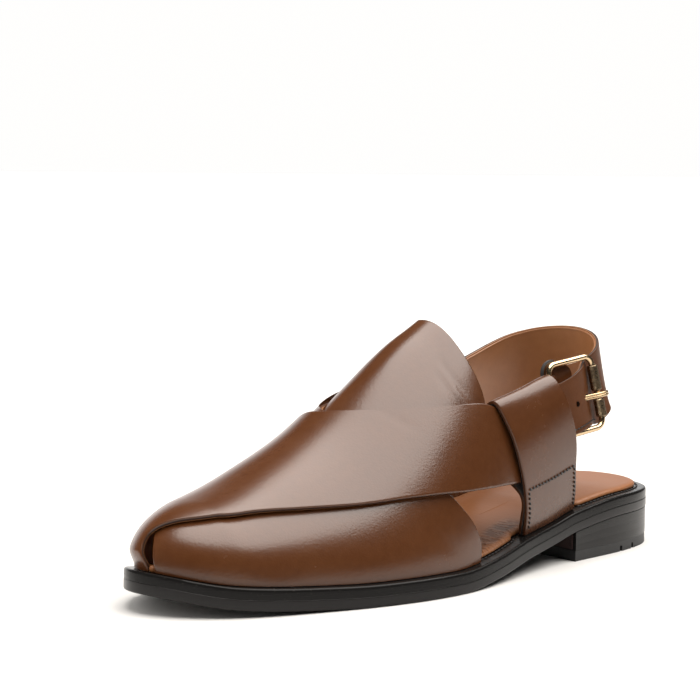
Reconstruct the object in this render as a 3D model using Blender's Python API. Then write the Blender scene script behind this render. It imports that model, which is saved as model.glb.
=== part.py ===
"""Peshawari chappal, left shoe.

Two broad straps cross over the forefoot and are lasted between sole and insole. A tongue lies under them, a
folded side loop stands on each side of the ankle, and a buckled strap runs round the heel. The heel is at +Y,
the toe at -Y, the lateral side at +X, and the shoe stands on z = 0. Tables and sizes are in millimetres.
"""
import math
from collections import namedtuple

import bmesh
import bpy
import numpy as np

MM = 0.001

# Driving sizes.
LENGTH = 272.0          # heel back to toe tip of the sole
BALL_WIDTH = 92.6       # across the sole at the joints
INSTEP = 110.0          # floor to the top of the instep
HEEL_LIFT = 16.0        # floor to the underside of the outsole at the heel
OUTSOLE = 4.1
MIDSOLE = 4.1
GAP = 0.3               # clearance between neighbouring pieces
LEDGE = 4.0             # midsole edge outside the upper
WALL = 2.0              # leather of the crossing straps, with their lining
TONGUE_WALL = 1.8
LOOP_WALL = 1.5
HEEL_STRAP_WALL = 2.2
EMBED = 0.9             # how far the top strap is sunk into the strap under it
TOP_PIECE = 4.3
WIRE = 1.3              # radius of the buckle's wire
ROLLER = 2.35           # outer radius of the buckle's roller
WELD = 0.000002         # metres
SHARP = 40.0            # degrees, the turn between two faces that is shaded as an edge
EDGE_POINTS = 720       # round the sole's edge

# The sole's edge. along: percent of the length from the heel. across: percent of the ball width, lateral +.
EdgePoint = namedtuple("EdgePoint", "place along across")
SOLE_EDGE = (
    EdgePoint("heel back", 0.0, -5.6),
    EdgePoint("heel corner, lateral", 2.9, 18.2),
    EdgePoint("seat, lateral", 10.6, 29.4),
    EdgePoint("heel breast, lateral", 24.3, 33.5),
    EdgePoint("waist, lateral", 38.8, 39.8),
    EdgePoint("fifth joint", 56.3, 49.8),
    EdgePoint("ball, lateral", 66.1, 48.3),
    EdgePoint("little toe", 81.9, 35.6),
    EdgePoint("toe corner, lateral", 95.3, 14.7),
    EdgePoint("toe tip", 100.0, -13.1),
    EdgePoint("toe corner, medial", 94.2, -35.3),
    EdgePoint("big toe", 80.9, -46.9),
    EdgePoint("ball, medial", 68.4, -50.0),
    EdgePoint("first joint", 56.6, -46.0),
    EdgePoint("waist, medial", 40.8, -36.8),
    EdgePoint("heel breast, medial", 24.2, -36.6),
    EdgePoint("seat, medial", 10.0, -38.3),
    EdgePoint("heel corner, medial", 2.2, -29.4),
)

# The underside of the outsole. lift: percent of the heel lift.
Rise = namedtuple("Rise", "place along lift")
SOLE_RISE = (
    Rise("heel back", 0.0, 98.0),
    Rise("seat", 13.0, 99.0),
    Rise("heel breast", 26.0, 78.0),
    Rise("shank", 31.6, 59.0),
    Rise("waist", 39.0, 40.0),
    Rise("joint", 48.0, 15.0),
    Rise("tread starts", 57.0, 0.0),
    Rise("tread ends", 71.5, 0.0),
    Rise("toes", 80.0, 5.0),
    Rise("toe spring", 91.0, 18.0),
    Rise("toe tip", 100.0, 50.0),
)

# Cross sections of the upper. crown: height of the ridge, percent of the instep. ridge: its place across,
# percent of the ball width. lateral, medial: how pinched each side is, 1 an ellipse, 2 a straight slope.
Section = namedtuple("Section", "along crown ridge lateral medial")
UPPER_SECTIONS = (
    Section(100.0, 29.0, -11.0, 0.80, 0.80),
    Section(95.0, 31.2, -11.5, 0.82, 0.82),
    Section(90.0, 33.6, -12.0, 0.88, 0.86),
    Section(85.0, 36.9, -12.0, 0.94, 0.90),
    Section(78.0, 43.6, -12.0, 1.02, 0.96),
    Section(70.0, 53.2, -12.0, 1.10, 1.02),
    Section(62.0, 67.5, -11.5, 1.14, 1.06),
    Section(55.0, 81.3, -11.0, 1.14, 1.08),
    Section(49.0, 91.2, -10.5, 1.12, 1.08),
    Section(44.0, 97.8, -10.0, 1.10, 1.08),
    Section(38.0, 102.0, -8.0, 1.10, 1.08),
    Section(30.0, 105.0, -6.0, 1.10, 1.08),
)
FAN_POLE = 90.0         # along, percent: ahead of it the sections fan round the toe
NORMAL_STEP = 0.6       # how far apart the points are that give the upper's outward direction

# Heel, under the outsole.
HEEL_BREAST = 26.5      # along, percent
BREAST_HOLLOW = 2.0     # how far the breast curves in at its middle
BREAST_STEPS = 8
SEAT_STEPS = 54
STACK_INSET = 0.2       # heel pieces inside the sole's edge
TOP_PIECE_INSET = 0.5
GROOVE_ALONG = (14.2, 10.6)     # percent of the length, the two grooves across the top piece
GROOVE_WIDTH = 1.6
GROOVE_DEPTH = 2.4

# Plates of the sole: the stations, percent of the length, where they bend, and their eased edges.
SOLE_BENDS = (96.0, 92.0, 87.0, 80.0, 72.0, 64.0, 56.0, 51.0, 46.0, 41.0, 36.0, 31.0, 26.0, 20.0, 13.0)
HEEL_BENDS = (22.0, 17.0, 10.0)
SOLE_EDGE_STEPS = 92
MIDSOLE_INSET = 0.3     # midsole inside the outsole's edge
SOLE_BEVEL = 0.7
STACK_BEVEL = 0.5
TOP_PIECE_BEVEL = 0.6
RIM_TURN = 60.0         # degrees: an edge that turns more than this is a plate's rim
RIM_SLOPE = 0.7         # and it climbs less than this share of its length

# Insole: how far it stays inside the sole's edge, so that straps and loops stand round it.
Inset = namedtuple("Inset", "place along distance")
INSOLE_INSET = (
    Inset("toe", 100.0, 7.2),
    Inset("toes", 88.0, 6.6),
    Inset("last of the straps", 41.2, 6.6),
    Inset("front of the loops", 39.6, 8.4),
    Inset("rear of the loops", 24.6, 8.4),
    Inset("seat", 23.0, 5.2),
    Inset("heel back", 0.0, 5.2),
)
INSOLE_EDGE_STEPS = 76
INSOLE_EDGE = 1.5
INSOLE_CROWN = 1.6
INSOLE_BEVEL = 0.9

# Edges of a crossing strap. along: percent of the length. up: percent of the way from feather edge to ridge.
# The low edge is on the far side from where the strap is lasted. The rear edge starts at the feather edge.
EdgeStep = namedtuple("EdgeStep", "side along up")
LOW_EDGE = (
    EdgeStep(1, 98.2, 60.2),
    EdgeStep(1, 96.9, 65.8),
    EdgeStep(1, 93.6, 67.2),
    EdgeStep(1, 89.6, 65.0),
    EdgeStep(1, 86.0, 60.4),
    EdgeStep(1, 80.8, 51.8),
    EdgeStep(1, 75.0, 44.6),
    EdgeStep(1, 65.4, 35.5),
    EdgeStep(1, 57.2, 28.4),
    EdgeStep(1, 48.7, 21.9),
    EdgeStep(1, 41.0, 17.6),
)
UNDER_LOW_EDGE = LOW_EDGE[3:]    # the under strap turns round the toe in one sweep
REAR_EDGE = (
    EdgeStep(-1, 51.2, 0.0),
    EdgeStep(-1, 51.0, 6.0),
    EdgeStep(-1, 51.8, 12.0),
    EdgeStep(-1, 54.0, 20.0),
    EdgeStep(-1, 56.8, 29.0),
    EdgeStep(-1, 61.5, 47.0),
    EdgeStep(-1, 65.0, 72.0),
    EdgeStep(1, 65.6, 96.0),
    EdgeStep(1, 64.3, 84.6),
    EdgeStep(1, 61.4, 71.0),
    EdgeStep(1, 55.3, 56.6),
    EdgeStep(1, 50.4, 49.8),
    EdgeStep(1, 45.2, 43.6),
    EdgeStep(1, 42.2, 38.8),
    EdgeStep(1, 39.2, 35.5),
)
UNDER_SETBACK = 2.2     # percent of the length: the under strap's rear edge lies further back on the ridge

# The two straps' front edges, either side of the slit at the toe, up from the feather edge. ahead: from the
# pole of the toe's fan to the front. across: lateral +. start: where the edge leaves the feather edge, past
# the toe tip towards the side where the strap is lasted.
FrontEdge = namedtuple("FrontEdge", "start steps")
FrontStep = namedtuple("FrontStep", "ahead across")
TOP_FRONT = FrontEdge(-3.0, (FrontStep(19.7, 1.8), FrontStep(16.6, 0.7), FrontStep(13.6, 0.5)))
UNDER_FRONT = FrontEdge(6.0, (FrontStep(19.6, 4.7), FrontStep(17.0, 3.3), FrontStep(13.8, 1.6)))
STRAP_ROWS = 28
STRAP_COLUMNS = 16
CLIMB = 0.2             # up, share, where the top strap has climbed onto the strap under it

# The tongue: where it starts under the straps, and its rear edge over the ridge.
TONGUE_FRONT = 74.0
TONGUE_FOOT = 36.0      # up, percent, of its two side edges
TONGUE_REAR = (
    EdgeStep(1, 46.4, 36.0),
    EdgeStep(1, 45.1, 40.5),
    EdgeStep(1, 43.7, 44.8),
    EdgeStep(1, 43.8, 50.5),
    EdgeStep(1, 44.8, 64.0),
    EdgeStep(1, 45.7, 81.0),
    EdgeStep(1, 46.3, 94.0),
    EdgeStep(-1, 46.3, 94.0),
    EdgeStep(-1, 45.6, 82.0),
    EdgeStep(-1, 45.2, 65.0),
    EdgeStep(-1, 44.9, 53.0),
    EdgeStep(-1, 45.4, 44.0),
    EdgeStep(-1, 46.2, 36.0),
)
TONGUE_ROWS = 13
TONGUE_COLUMNS = 18
TONGUE_DEPTH = WALL + 0.6   # below the upper's outer surface, clear of the facets of the straps

# Side loop: how far its outer face stands out from its foot at its front and rear edges, over the
# fold and down the inner leg. Both legs are lasted under the insole.
LoopStep = namedtuple("LoopStep", "place up front rear")
LOOP_PROFILE = (
    LoopStep("outer foot", 0.0, 0.0, 0.0),
    LoopStep("outer leg, sewn", 8.0, 2.2, 2.4),
    LoopStep("outer leg, sewn top", 17.5, 3.4, 4.2),
    LoopStep("outer leg, bulge", 30.0, 3.0, 6.6),
    LoopStep("outer leg, top", 42.0, 1.0, 6.0),
    LoopStep("fold, outer", 50.8, -2.4, 3.4),
    LoopStep("fold, crest", 56.8, -7.0, -2.4),
    LoopStep("fold, inner", 52.0, -12.8, -9.4),
    LoopStep("inner leg, top", 42.0, -11.0, -10.2),
    LoopStep("inner leg, middle", 30.0, -7.8, -8.0),
    LoopStep("inner leg, open", 22.5, -5.0, -4.4),
    LoopStep("inner leg, sewn top", 17.0, -0.2, 0.1),
    LoopStep("inner leg, sewn", 8.0, -1.3, -1.1),
    LoopStep("inner foot", 0.0, -3.5, -3.5),
)
LOOP_FOOT_WIDTH = 37.4
LOOP_FOLD_WIDTH = 34.0
LOOP_ALONG = 32.0       # percent of the length, the middle of the foot of both loops
LOOP_LEAN = 15.5        # degrees, forward lean of the loop
MEDIAL_LOOP_RISE = 2.5  # the medial loop's fold is higher and stands further out
MEDIAL_LOOP_SPLAY = 3.2
LOOP_RISE = 2.0         # how much higher the fold's rear edge is, beyond the rise of its foot
LOOP_SETTLE = 12.0      # height over which the loop's foot takes the slope of the sole
LOOP_STEPS = 34
LOOP_COLUMNS = 5

# Heel strap, from its end in the medial loop, round the heel, to its tip in the lateral loop.
StrapStep = namedtuple("StrapStep", "place x y z width lean")
HEEL_STRAP = (
    StrapStep("medial end", -28.2, 36.0, 60.2, 15.0, 5.0),
    StrapStep("medial loop", -30.0, 50.0, 65.2, 23.0, 7.0),
    StrapStep("medial", -31.6, 64.0, 68.9, 27.6, 9.0),
    StrapStep("medial rear", -32.0, 78.0, 72.7, 28.0, 9.5),
    StrapStep("medial turn", -29.4, 88.0, 76.1, 27.6, 9.5),
    StrapStep("heel, medial", -23.8, 94.9, 78.9, 27.0, 9.5),
    StrapStep("heel, medial back", -14.4, 100.2, 80.9, 27.0, 9.5),
    StrapStep("heel back", -3.2, 102.2, 81.4, 27.0, 9.5),
    StrapStep("heel, lateral back", 8.0, 100.2, 80.1, 27.0, 10.0),
    StrapStep("heel, lateral", 17.0, 95.0, 77.3, 27.0, 11.0),
    StrapStep("lateral turn", 22.6, 87.6, 73.7, 27.0, 10.5),
    StrapStep("under the roller", 24.1, 80.0, 69.9, 28.2, 9.5),
    StrapStep("bend before the roller", 25.7, 75.9, 69.3, 26.4, 9.5),
    StrapStep("in the frame", 28.4, 71.6, 68.6, 24.8, 9.5),
    StrapStep("past the frame", 30.3, 65.5, 66.9, 23.2, 9.5),
    StrapStep("over the front bar", 30.5, 54.0, 63.8, 22.6, 8.0),
    StrapStep("lateral loop", 29.4, 43.0, 61.2, 20.0, 6.0),
    StrapStep("tip", 28.8, 35.0, 59.4, 15.0, 5.0),
)

HEEL_STRAP_STEPS = 58
HEEL_STRAP_COLUMNS = 4

# Buckle: a flat frame on the lateral side. Its own axes are along (towards the heel), rise and out.
FRAME_CENTRE = (27.2, 67.1, 69.0)
FRAME_ALONG = 24.6      # between the middles of the front and rear bars
FRAME_RISE = 30.2       # between the middles of the top and bottom bars
FRAME_CORNER = 4.0
FRAME_SLOPE = 7.8       # degrees, up towards the heel
FRAME_FLARE = 6.3       # degrees, outwards towards the heel
FRAME_LEAN = 9.5        # degrees, the frame's top leans in with the strap
FRAME_CORNER_STEPS = 4
ROLLER_SPANS = ((0.4, 10.9), (-10.9, -3.5))
ROLLER_SIDES = 12

# Chape: a leather tab folded round the frame's front bar. Its half height narrows towards its front end.
# Its guard is a rounded end that stands behind the frame's upper front corner.
CHAPE_WALL = 1.0
CHAPE_TAIL = 8.0        # how far the chape runs forward of the front bar
CHAPE_HALF = 10.8       # half height at the bar
CHAPE_TAPER = 5.2       # how much smaller the half height is at the front end
CHAPE_BEND = 1.6        # forward of the bar, where the fold begins
CHAPE_NECK = 4.5        # forward of the bar, where the two legs come together
CHAPE_NECK_GAP = 0.3    # half the space between the legs there
CHAPE_TAIL_GAP = 0.15   # and at the front end
CHAPE_TURN_STEPS = 9
CHAPE_STEPS = 20
CHAPE_COLUMNS = 5
CHAPE_SLOT = (5.0, 3.4, 9.0)    # the prong's slot: along, rise and out
CHAPE_SLOT_REACH = 2.0  # its middle, from the bar towards the heel
GUARD_FRONT = (-8.3, 11.3, 6.0)     # along, height and radius of the guard's front rounding
GUARD_REAR = (-2.6, 9.6, 4.6)       # and of its rear rounding
GUARD_LEVEL = -2.3      # its middle, out from the frame
GUARD_STEPS = 7

# Prong, from the front bar, out through the strap and over the roller.
ProngStep = namedtuple("ProngStep", "place along out")
PRONG = (
    ProngStep("root", -10.4, 0.0),
    ProngStep("under the tip", -5.0, 0.2),
    ProngStep("in the hole", 1.0, 1.2),
    ProngStep("out of the hole", 5.0, 2.6),
    ProngStep("before the roller", 8.4, 3.8),
    ProngStep("over the roller", 12.3, 4.1),
    ProngStep("past the roller", 14.6, 3.4),
    ProngStep("point", 16.2, 2.0),
)
PRONG_RADIUS = 1.15
PRONG_HEIGHT = -1.55    # of the prong, in the frame's rise
PRONG_STEPS = 20
HOLE_SLACK = 0.45       # round the prong where it comes through the strap


def along_to_y(along):
    return LENGTH * (0.5 - along / 100.0)


def across_to_x(across):
    return BALL_WIDTH * across / 100.0


def monotone(table_x, table_y):
    """A smooth function through table rows that never swings past them."""
    order = np.argsort(table_x)
    xs = np.asarray(table_x, float)[order]
    ys = np.asarray(table_y, float)[order]
    steps = np.diff(xs)
    slopes = np.diff(ys) / steps
    tangents = np.zeros(len(xs))
    tangents[0] = slopes[0]
    tangents[-1] = slopes[-1]
    for i in range(1, len(xs) - 1):
        before, after = slopes[i - 1], slopes[i]
        if before * after > 0.0:
            w1 = 2.0 * steps[i] + steps[i - 1]
            w2 = steps[i] + 2.0 * steps[i - 1]
            tangents[i] = (w1 + w2) / (w1 / before + w2 / after)

    def value(x):
        x = np.clip(x, xs[0], xs[-1])
        i = np.clip(np.searchsorted(xs, x, side="right") - 1, 0, len(steps) - 1)
        t = (x - xs[i]) / steps[i]
        return (
            ys[i] * (1.0 + 2.0 * t) * (1.0 - t) ** 2
            + ys[i + 1] * t * t * (3.0 - 2.0 * t)
            + steps[i] * tangents[i] * t * (1.0 - t) ** 2
            - steps[i] * tangents[i + 1] * t * t * (1.0 - t)
        )

    return value


def spline(knots, count, closed=False):
    """Points evenly spread along a smooth curve through the knots."""
    knots = np.asarray(knots, float)
    ring = np.vstack([knots, knots[:1]]) if closed else knots
    spans = np.linalg.norm(np.diff(ring, axis=0), axis=1)
    size = len(knots)
    system = np.eye(size)
    sides = np.zeros_like(knots)
    for i in range(size):
        if not closed and i in (0, size - 1):
            continue
        before, after = spans[i - 1], spans[i]
        system[i, i] = 2.0 * (before + after)
        system[i, i - 1] += before
        system[i, (i + 1) % size] += after
        ahead = (knots[(i + 1) % size] - knots[i]) / after
        sides[i] = 6.0 * (ahead - (knots[i] - knots[i - 1]) / before)
    bends = np.linalg.solve(system, sides)
    if closed:
        bends = np.vstack([bends, bends[:1]])
    dense = []
    for i, span in enumerate(spans):
        t = np.linspace(0.0, span, 24, endpoint=False)[:, None]
        left = span - t
        dense.append(
            bends[i] * left ** 3 / (6.0 * span)
            + bends[i + 1] * t ** 3 / (6.0 * span)
            + (ring[i] / span - bends[i] * span / 6.0) * left
            + (ring[i + 1] / span - bends[i + 1] * span / 6.0) * t
        )
    dense = np.vstack(dense + [ring[-1:]])
    return resample(dense, count + 1)[:-1] if closed else resample(dense, count)


def resample(points, count):
    """The same open polyline as count points, evenly spaced along it."""
    travelled = np.concatenate([[0.0], np.cumsum(np.linalg.norm(np.diff(points, axis=0), axis=1))])
    wanted = np.linspace(0.0, travelled[-1], count)
    return np.stack([np.interp(wanted, travelled, points[:, k]) for k in range(points.shape[1])], axis=1)


def inset(curve, distance):
    """A closed curve moved inwards; distance may differ from point to point."""
    ahead = np.roll(curve, -1, axis=0) - np.roll(curve, 1, axis=0)
    ahead /= np.linalg.norm(ahead, axis=1)[:, None]
    inward = np.stack([ahead[:, 1], -ahead[:, 0]], axis=1)
    return curve + inward * np.reshape(distance, (-1, 1)) * np.ones((len(curve), 1))


def centred(curve):
    return curve - (curve.min(axis=0) + curve.max(axis=0)) / 2.0


EDGE_KNOTS = [(across_to_x(p.across), along_to_y(p.along)) for p in SOLE_EDGE]
EDGE = centred(spline(EDGE_KNOTS, EDGE_POINTS, closed=True))
FEATHER = inset(EDGE, LEDGE)

rise = monotone([along_to_y(r.along) for r in SOLE_RISE], [HEEL_LIFT * r.lift / 100.0 for r in SOLE_RISE])
SECTION_YS = [along_to_y(s.along) for s in UPPER_SECTIONS]
crown = monotone(SECTION_YS, [INSTEP * s.crown / 100.0 for s in UPPER_SECTIONS])
ridge_x = monotone(SECTION_YS, [across_to_x(s.ridge) for s in UPPER_SECTIONS])
pinch = {
    1: monotone(SECTION_YS, [s.lateral for s in UPPER_SECTIONS]),
    -1: monotone(SECTION_YS, [s.medial for s in UPPER_SECTIONS]),
}
POLE_Y = along_to_y(FAN_POLE)
POLE = np.array([float(ridge_x(POLE_Y)), POLE_Y])


def welt_top(y):
    return rise(y) + OUTSOLE + GAP + MIDSOLE


def side_curve(curve, side):
    """One side of a closed curve, from toe to heel, as rows sorted by y."""
    toe = int(np.argmin(curve[:, 1]))
    heel = int(np.argmax(curve[:, 1]))
    turned = np.roll(curve, -toe, axis=0)
    stop = (heel - toe) % len(curve)
    medial = turned[: stop + 1]
    lateral = np.vstack([turned[stop:], turned[:1]])[::-1]
    return lateral if side > 0 else medial


FEATHER_SIDE = {side: side_curve(FEATHER, side) for side in (1, -1)}


def feather_x(y, side):
    rows = FEATHER_SIDE[side]
    return np.interp(y, rows[:, 1], rows[:, 0])


def toe_angle(points):
    """Direction from the pole of the toe fan: 0 is straight ahead, lateral is positive."""
    away = np.atleast_2d(points) - POLE
    return np.arctan2(away[:, 0], -away[:, 1])


TOE_RING = FEATHER[FEATHER[:, 1] < POLE_Y + 12.0]
TOE_RING = TOE_RING[np.argsort(toe_angle(TOE_RING))]
TOE_ANGLES = toe_angle(TOE_RING)
TOE_REACH = np.linalg.norm(TOE_RING - POLE, axis=1)


def pattern(side, y, up):
    """A point of the flat pattern: up runs from 0 at the feather edge to 1 on the ridge."""
    if y >= POLE_Y:
        middle = float(ridge_x(y))
        return np.array([middle + (float(feather_x(y, side)) - middle) * (1.0 - up), y])
    edge = np.array([float(feather_x(y, side)), y])
    return POLE + (edge - POLE) * (1.0 - up)


def place_on_last(point):
    """Side, share of the way down from ridge to feather edge, and the two ends of that way."""
    x, y = float(point[0]), float(point[1])
    if y >= POLE_Y:
        middle = np.array([float(ridge_x(y)), y])
        side = 1.0 if x >= middle[0] else -1.0
        edge = np.array([float(feather_x(y, side)), y])
    else:
        middle = POLE
        angle = float(toe_angle(point)[0])
        side = math.sin(angle)
        reach = float(np.interp(angle, TOE_ANGLES, TOE_REACH))
        edge = POLE + reach * np.array([math.sin(angle), -math.cos(angle)])
    down = np.linalg.norm(np.array([x, y]) - middle) / np.linalg.norm(edge - middle)
    return side, min(down, 1.0), middle, edge


def on_last(point):
    """The upper's outer surface over a point of the pattern."""
    side, down, middle, edge = place_on_last(point)
    share_lateral = 0.5 + 0.5 * side
    turn = down * math.pi / 2.0
    power = share_lateral * float(pinch[1](point[1])) + (1.0 - share_lateral) * float(pinch[-1](point[1]))
    plan = middle + (edge - middle) * math.sin(turn) ** power
    foot = float(welt_top(edge[1])) + GAP
    height = foot + (float(crown(plan[1])) - foot) * math.cos(turn) ** power
    return np.array([plan[0], plan[1], height])


def surface_normal(point):
    """Outward direction of the upper over a point of the pattern."""
    x, y = point
    across = on_last((x + NORMAL_STEP, y)) - on_last((x - NORMAL_STEP, y))
    forward = on_last((x, y + NORMAL_STEP)) - on_last((x, y - NORMAL_STEP))
    normal = np.cross(across, forward)
    return normal / np.linalg.norm(normal)


def on_upper(point, offset):
    return on_last(point) + surface_normal(point) * offset


parts = bpy.data.collections.new("peshawari_chappal")
cutters = bpy.data.collections.new("cutters")


def clear_scene():
    for item in list(bpy.data.objects):
        bpy.data.objects.remove(item, do_unlink=True)


def material(name, colour, roughness, metallic=0.0):
    made = bpy.data.materials.new(name)
    made.use_nodes = True
    shader = made.node_tree.nodes["Principled BSDF"]
    shader.inputs["Base Color"].default_value = (*colour, 1.0)
    shader.inputs["Roughness"].default_value = roughness
    shader.inputs["Metallic"].default_value = metallic
    return made


def add_object(name, mesh, finish, collection=None):
    """Turn a bmesh in millimetres into a named object in metres, its faces outwards."""
    if mesh.calc_volume(signed=True) < 0.0:
        bmesh.ops.reverse_faces(mesh, faces=mesh.faces[:])
    bmesh.ops.scale(mesh, vec=(MM, MM, MM), verts=mesh.verts)
    data = bpy.data.meshes.new(name)
    mesh.to_mesh(data)
    mesh.free()
    data.shade_smooth()
    data.set_sharp_from_angle(angle=math.radians(SHARP))
    item = bpy.data.objects.new(name, data)
    if finish is not None:
        data.materials.append(finish)
    (collection or parts).objects.link(item)
    if collection is cutters:
        item.hide_render = True
        item.display_type = "WIRE"
    return item


def boolean(item, other, operation):
    cut = item.modifiers.new(operation.lower(), "BOOLEAN")
    cut.operation = operation
    cut.solver = "EXACT"
    cut.object = other
    return cut


def as_mesh(item, collection=None):
    """An object with its modifiers or curve made into one welded mesh object of the same name."""
    graph = bpy.context.evaluated_depsgraph_get()
    data = bpy.data.meshes.new_from_object(item.evaluated_get(graph))
    welded = bmesh.new()
    welded.from_mesh(data)
    bmesh.ops.remove_doubles(welded, verts=welded.verts, dist=WELD)
    bmesh.ops.triangulate(welded, faces=welded.faces[:])
    welded.to_mesh(data)
    welded.free()
    data.transform(item.matrix_world)
    name = item.name
    bpy.data.objects.remove(item, do_unlink=True)
    made = bpy.data.objects.new(name, data)
    (collection or parts).objects.link(made)
    if collection is cutters:
        made.hide_render = True
        made.display_type = "WIRE"
    return made


def plate(edge, stations, under, over, bevel=0.0):
    """A closed plate inside an edge. under(x, y) and over(x, y) give the heights of its two faces."""
    mesh = bmesh.new()
    ring = [mesh.verts.new((x, y, 0.0)) for x, y in edge]
    mesh.faces.new(ring)
    for y in stations:
        whole = mesh.verts[:] + mesh.edges[:] + mesh.faces[:]
        bmesh.ops.bisect_plane(mesh, geom=whole, plane_co=(0.0, y, 0.0), plane_no=(0.0, 1.0, 0.0))
    made = bmesh.ops.extrude_face_region(mesh, geom=mesh.faces[:])
    lifted = [v for v in made["geom"] if isinstance(v, bmesh.types.BMVert)]
    bmesh.ops.translate(mesh, verts=lifted, vec=(0.0, 0.0, 1.0))
    bmesh.ops.recalc_face_normals(mesh, faces=mesh.faces[:])
    for vertex in mesh.verts:
        face = over if vertex.co.z > 0.5 else under
        vertex.co.z = face(vertex.co.x, vertex.co.y)
    if bevel:
        corners = [e for e in mesh.edges if len(e.link_faces) == 2]
        rims = [e for e in corners if e.calc_face_angle(0.0) > math.radians(RIM_TURN)]
        rims = [e for e in rims if abs((e.verts[0].co - e.verts[1].co).normalized().z) < RIM_SLOPE]
        bmesh.ops.bevel(
            mesh, geom=rims, offset=bevel, offset_type="OFFSET", segments=1, profile=0.5, affect="EDGES",
            material=-1,
        )
    return mesh


def thin(curve, count):
    return resample(np.vstack([curve, curve[:1]]), count + 1)[:-1]


SOLE_STATIONS = [along_to_y(a) for a in SOLE_BENDS]


def make_outsole(finish):
    mesh = plate(
        thin(EDGE, SOLE_EDGE_STEPS), SOLE_STATIONS,
        lambda x, y: float(rise(y)), lambda x, y: float(rise(y)) + OUTSOLE, SOLE_BEVEL,
    )
    return add_object("outsole", mesh, finish)


def make_midsole(finish):
    low = OUTSOLE + GAP
    mesh = plate(
        thin(inset(EDGE, MIDSOLE_INSET), SOLE_EDGE_STEPS), SOLE_STATIONS,
        lambda x, y: float(rise(y)) + low, lambda x, y: float(rise(y)) + low + MIDSOLE, SOLE_BEVEL,
    )
    return add_object("midsole", mesh, finish)


def heel_edge(distance):
    """The heel's own closed edge: the seat's curve, closed by a hollow breast."""
    curve = inset(EDGE, distance)
    breast = along_to_y(HEEL_BREAST)
    kept = curve[curve[:, 1] > breast]
    first = int(np.argmax(np.linalg.norm(kept - np.roll(kept, 1, axis=0), axis=1)))
    round_heel = resample(np.roll(kept, -first, axis=0), SEAT_STEPS)
    start, stop = round_heel[-1], round_heel[0]
    share = np.linspace(0.0, 1.0, BREAST_STEPS + 1)[1:-1, None]
    front = start + (stop - start) * share
    front[:, 1] += BREAST_HOLLOW * np.sin(math.pi * share[:, 0])
    return np.vstack([round_heel, front])


def make_heel_stack(finish):
    mesh = plate(
        heel_edge(STACK_INSET), [along_to_y(a) for a in HEEL_BENDS],
        lambda x, y: TOP_PIECE + GAP, lambda x, y: float(rise(y)) - GAP, STACK_BEVEL,
    )
    return add_object("heel_stack", mesh, finish)


def make_heel_top_piece(finish):
    mesh = plate(heel_edge(TOP_PIECE_INSET), [], lambda x, y: 0.0, lambda x, y: TOP_PIECE, TOP_PIECE_BEVEL)
    piece = add_object("heel_top_piece", mesh, finish)
    for number, along in enumerate(GROOVE_ALONG, 1):
        cutter = bmesh.new()
        bmesh.ops.create_cube(cutter, size=1.0)
        bmesh.ops.scale(cutter, vec=(BALL_WIDTH, GROOVE_WIDTH, 2.0 * GROOVE_DEPTH), verts=cutter.verts)
        bmesh.ops.translate(cutter, vec=(0.0, along_to_y(along), 0.0), verts=cutter.verts)
        boolean(piece, add_object(f"groove_{number}", cutter, None, cutters), "DIFFERENCE")
    return piece


insole_inset = monotone([along_to_y(i.along) for i in INSOLE_INSET], [i.distance for i in INSOLE_INSET])


def make_insole(finish):
    edge = thin(inset(EDGE, insole_inset(EDGE[:, 1])), INSOLE_EDGE_STEPS)
    low = edge[:, 0].min()
    high = edge[:, 0].max()

    def over(x, y):
        middle = 0.5 * (low + high)
        across = min(abs(x - middle) / (0.5 * (high - low)), 1.0)
        return float(welt_top(y)) + INSOLE_EDGE + INSOLE_CROWN * (1.0 - across ** 2)

    mesh = plate(edge, SOLE_STATIONS, lambda x, y: float(welt_top(y)) + GAP, over, INSOLE_BEVEL)
    return add_object("insole", mesh, finish)


def edge_curve(steps, count, flip=1, setback=0.0):
    """A strap's edge as a smooth curve in the pattern; flip -1 gives the other strap's."""
    knots = []
    for step in steps:
        back = setback * max(step.up / 50.0 - 1.0, 0.0)
        knots.append(pattern(step.side * flip, along_to_y(step.along - back), step.up / 100.0))
    return spline(knots, count)


def feather_run(side, start, stop, count):
    """The feather edge from a distance past the toe tip to a percent of the length."""
    rows = FEATHER_SIDE[side]
    rows = rows[rows[:, 1] <= along_to_y(stop)]
    beyond = FEATHER_SIDE[-side]
    rows = np.vstack([beyond[beyond[:, 1] < POLE_Y][:0:-1], rows])
    travelled = np.concatenate([[0.0], np.cumsum(np.linalg.norm(np.diff(rows, axis=0), axis=1))])
    travelled -= travelled[np.argmin(rows[:, 1])]
    wanted = np.linspace(start, travelled[-1], count)
    return np.stack([np.interp(wanted, travelled, rows[:, k]) for k in (0, 1)], axis=1)


def patch(first, last, front, back):
    """The pattern points between four edges: first and last run along, front and back across."""
    rows, columns = len(first), len(front)
    p = np.linspace(0.0, 1.0, rows)[:, None, None]
    c = np.linspace(0.0, 1.0, columns)[None, :, None]
    grid = (1.0 - c) * first[:, None] + c * last[:, None] + (1.0 - p) * front[None] + p * back[None]
    corners = (1.0 - p) * ((1.0 - c) * first[0] + c * last[0]) + p * ((1.0 - c) * first[-1] + c * last[-1])
    return grid - corners


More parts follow.
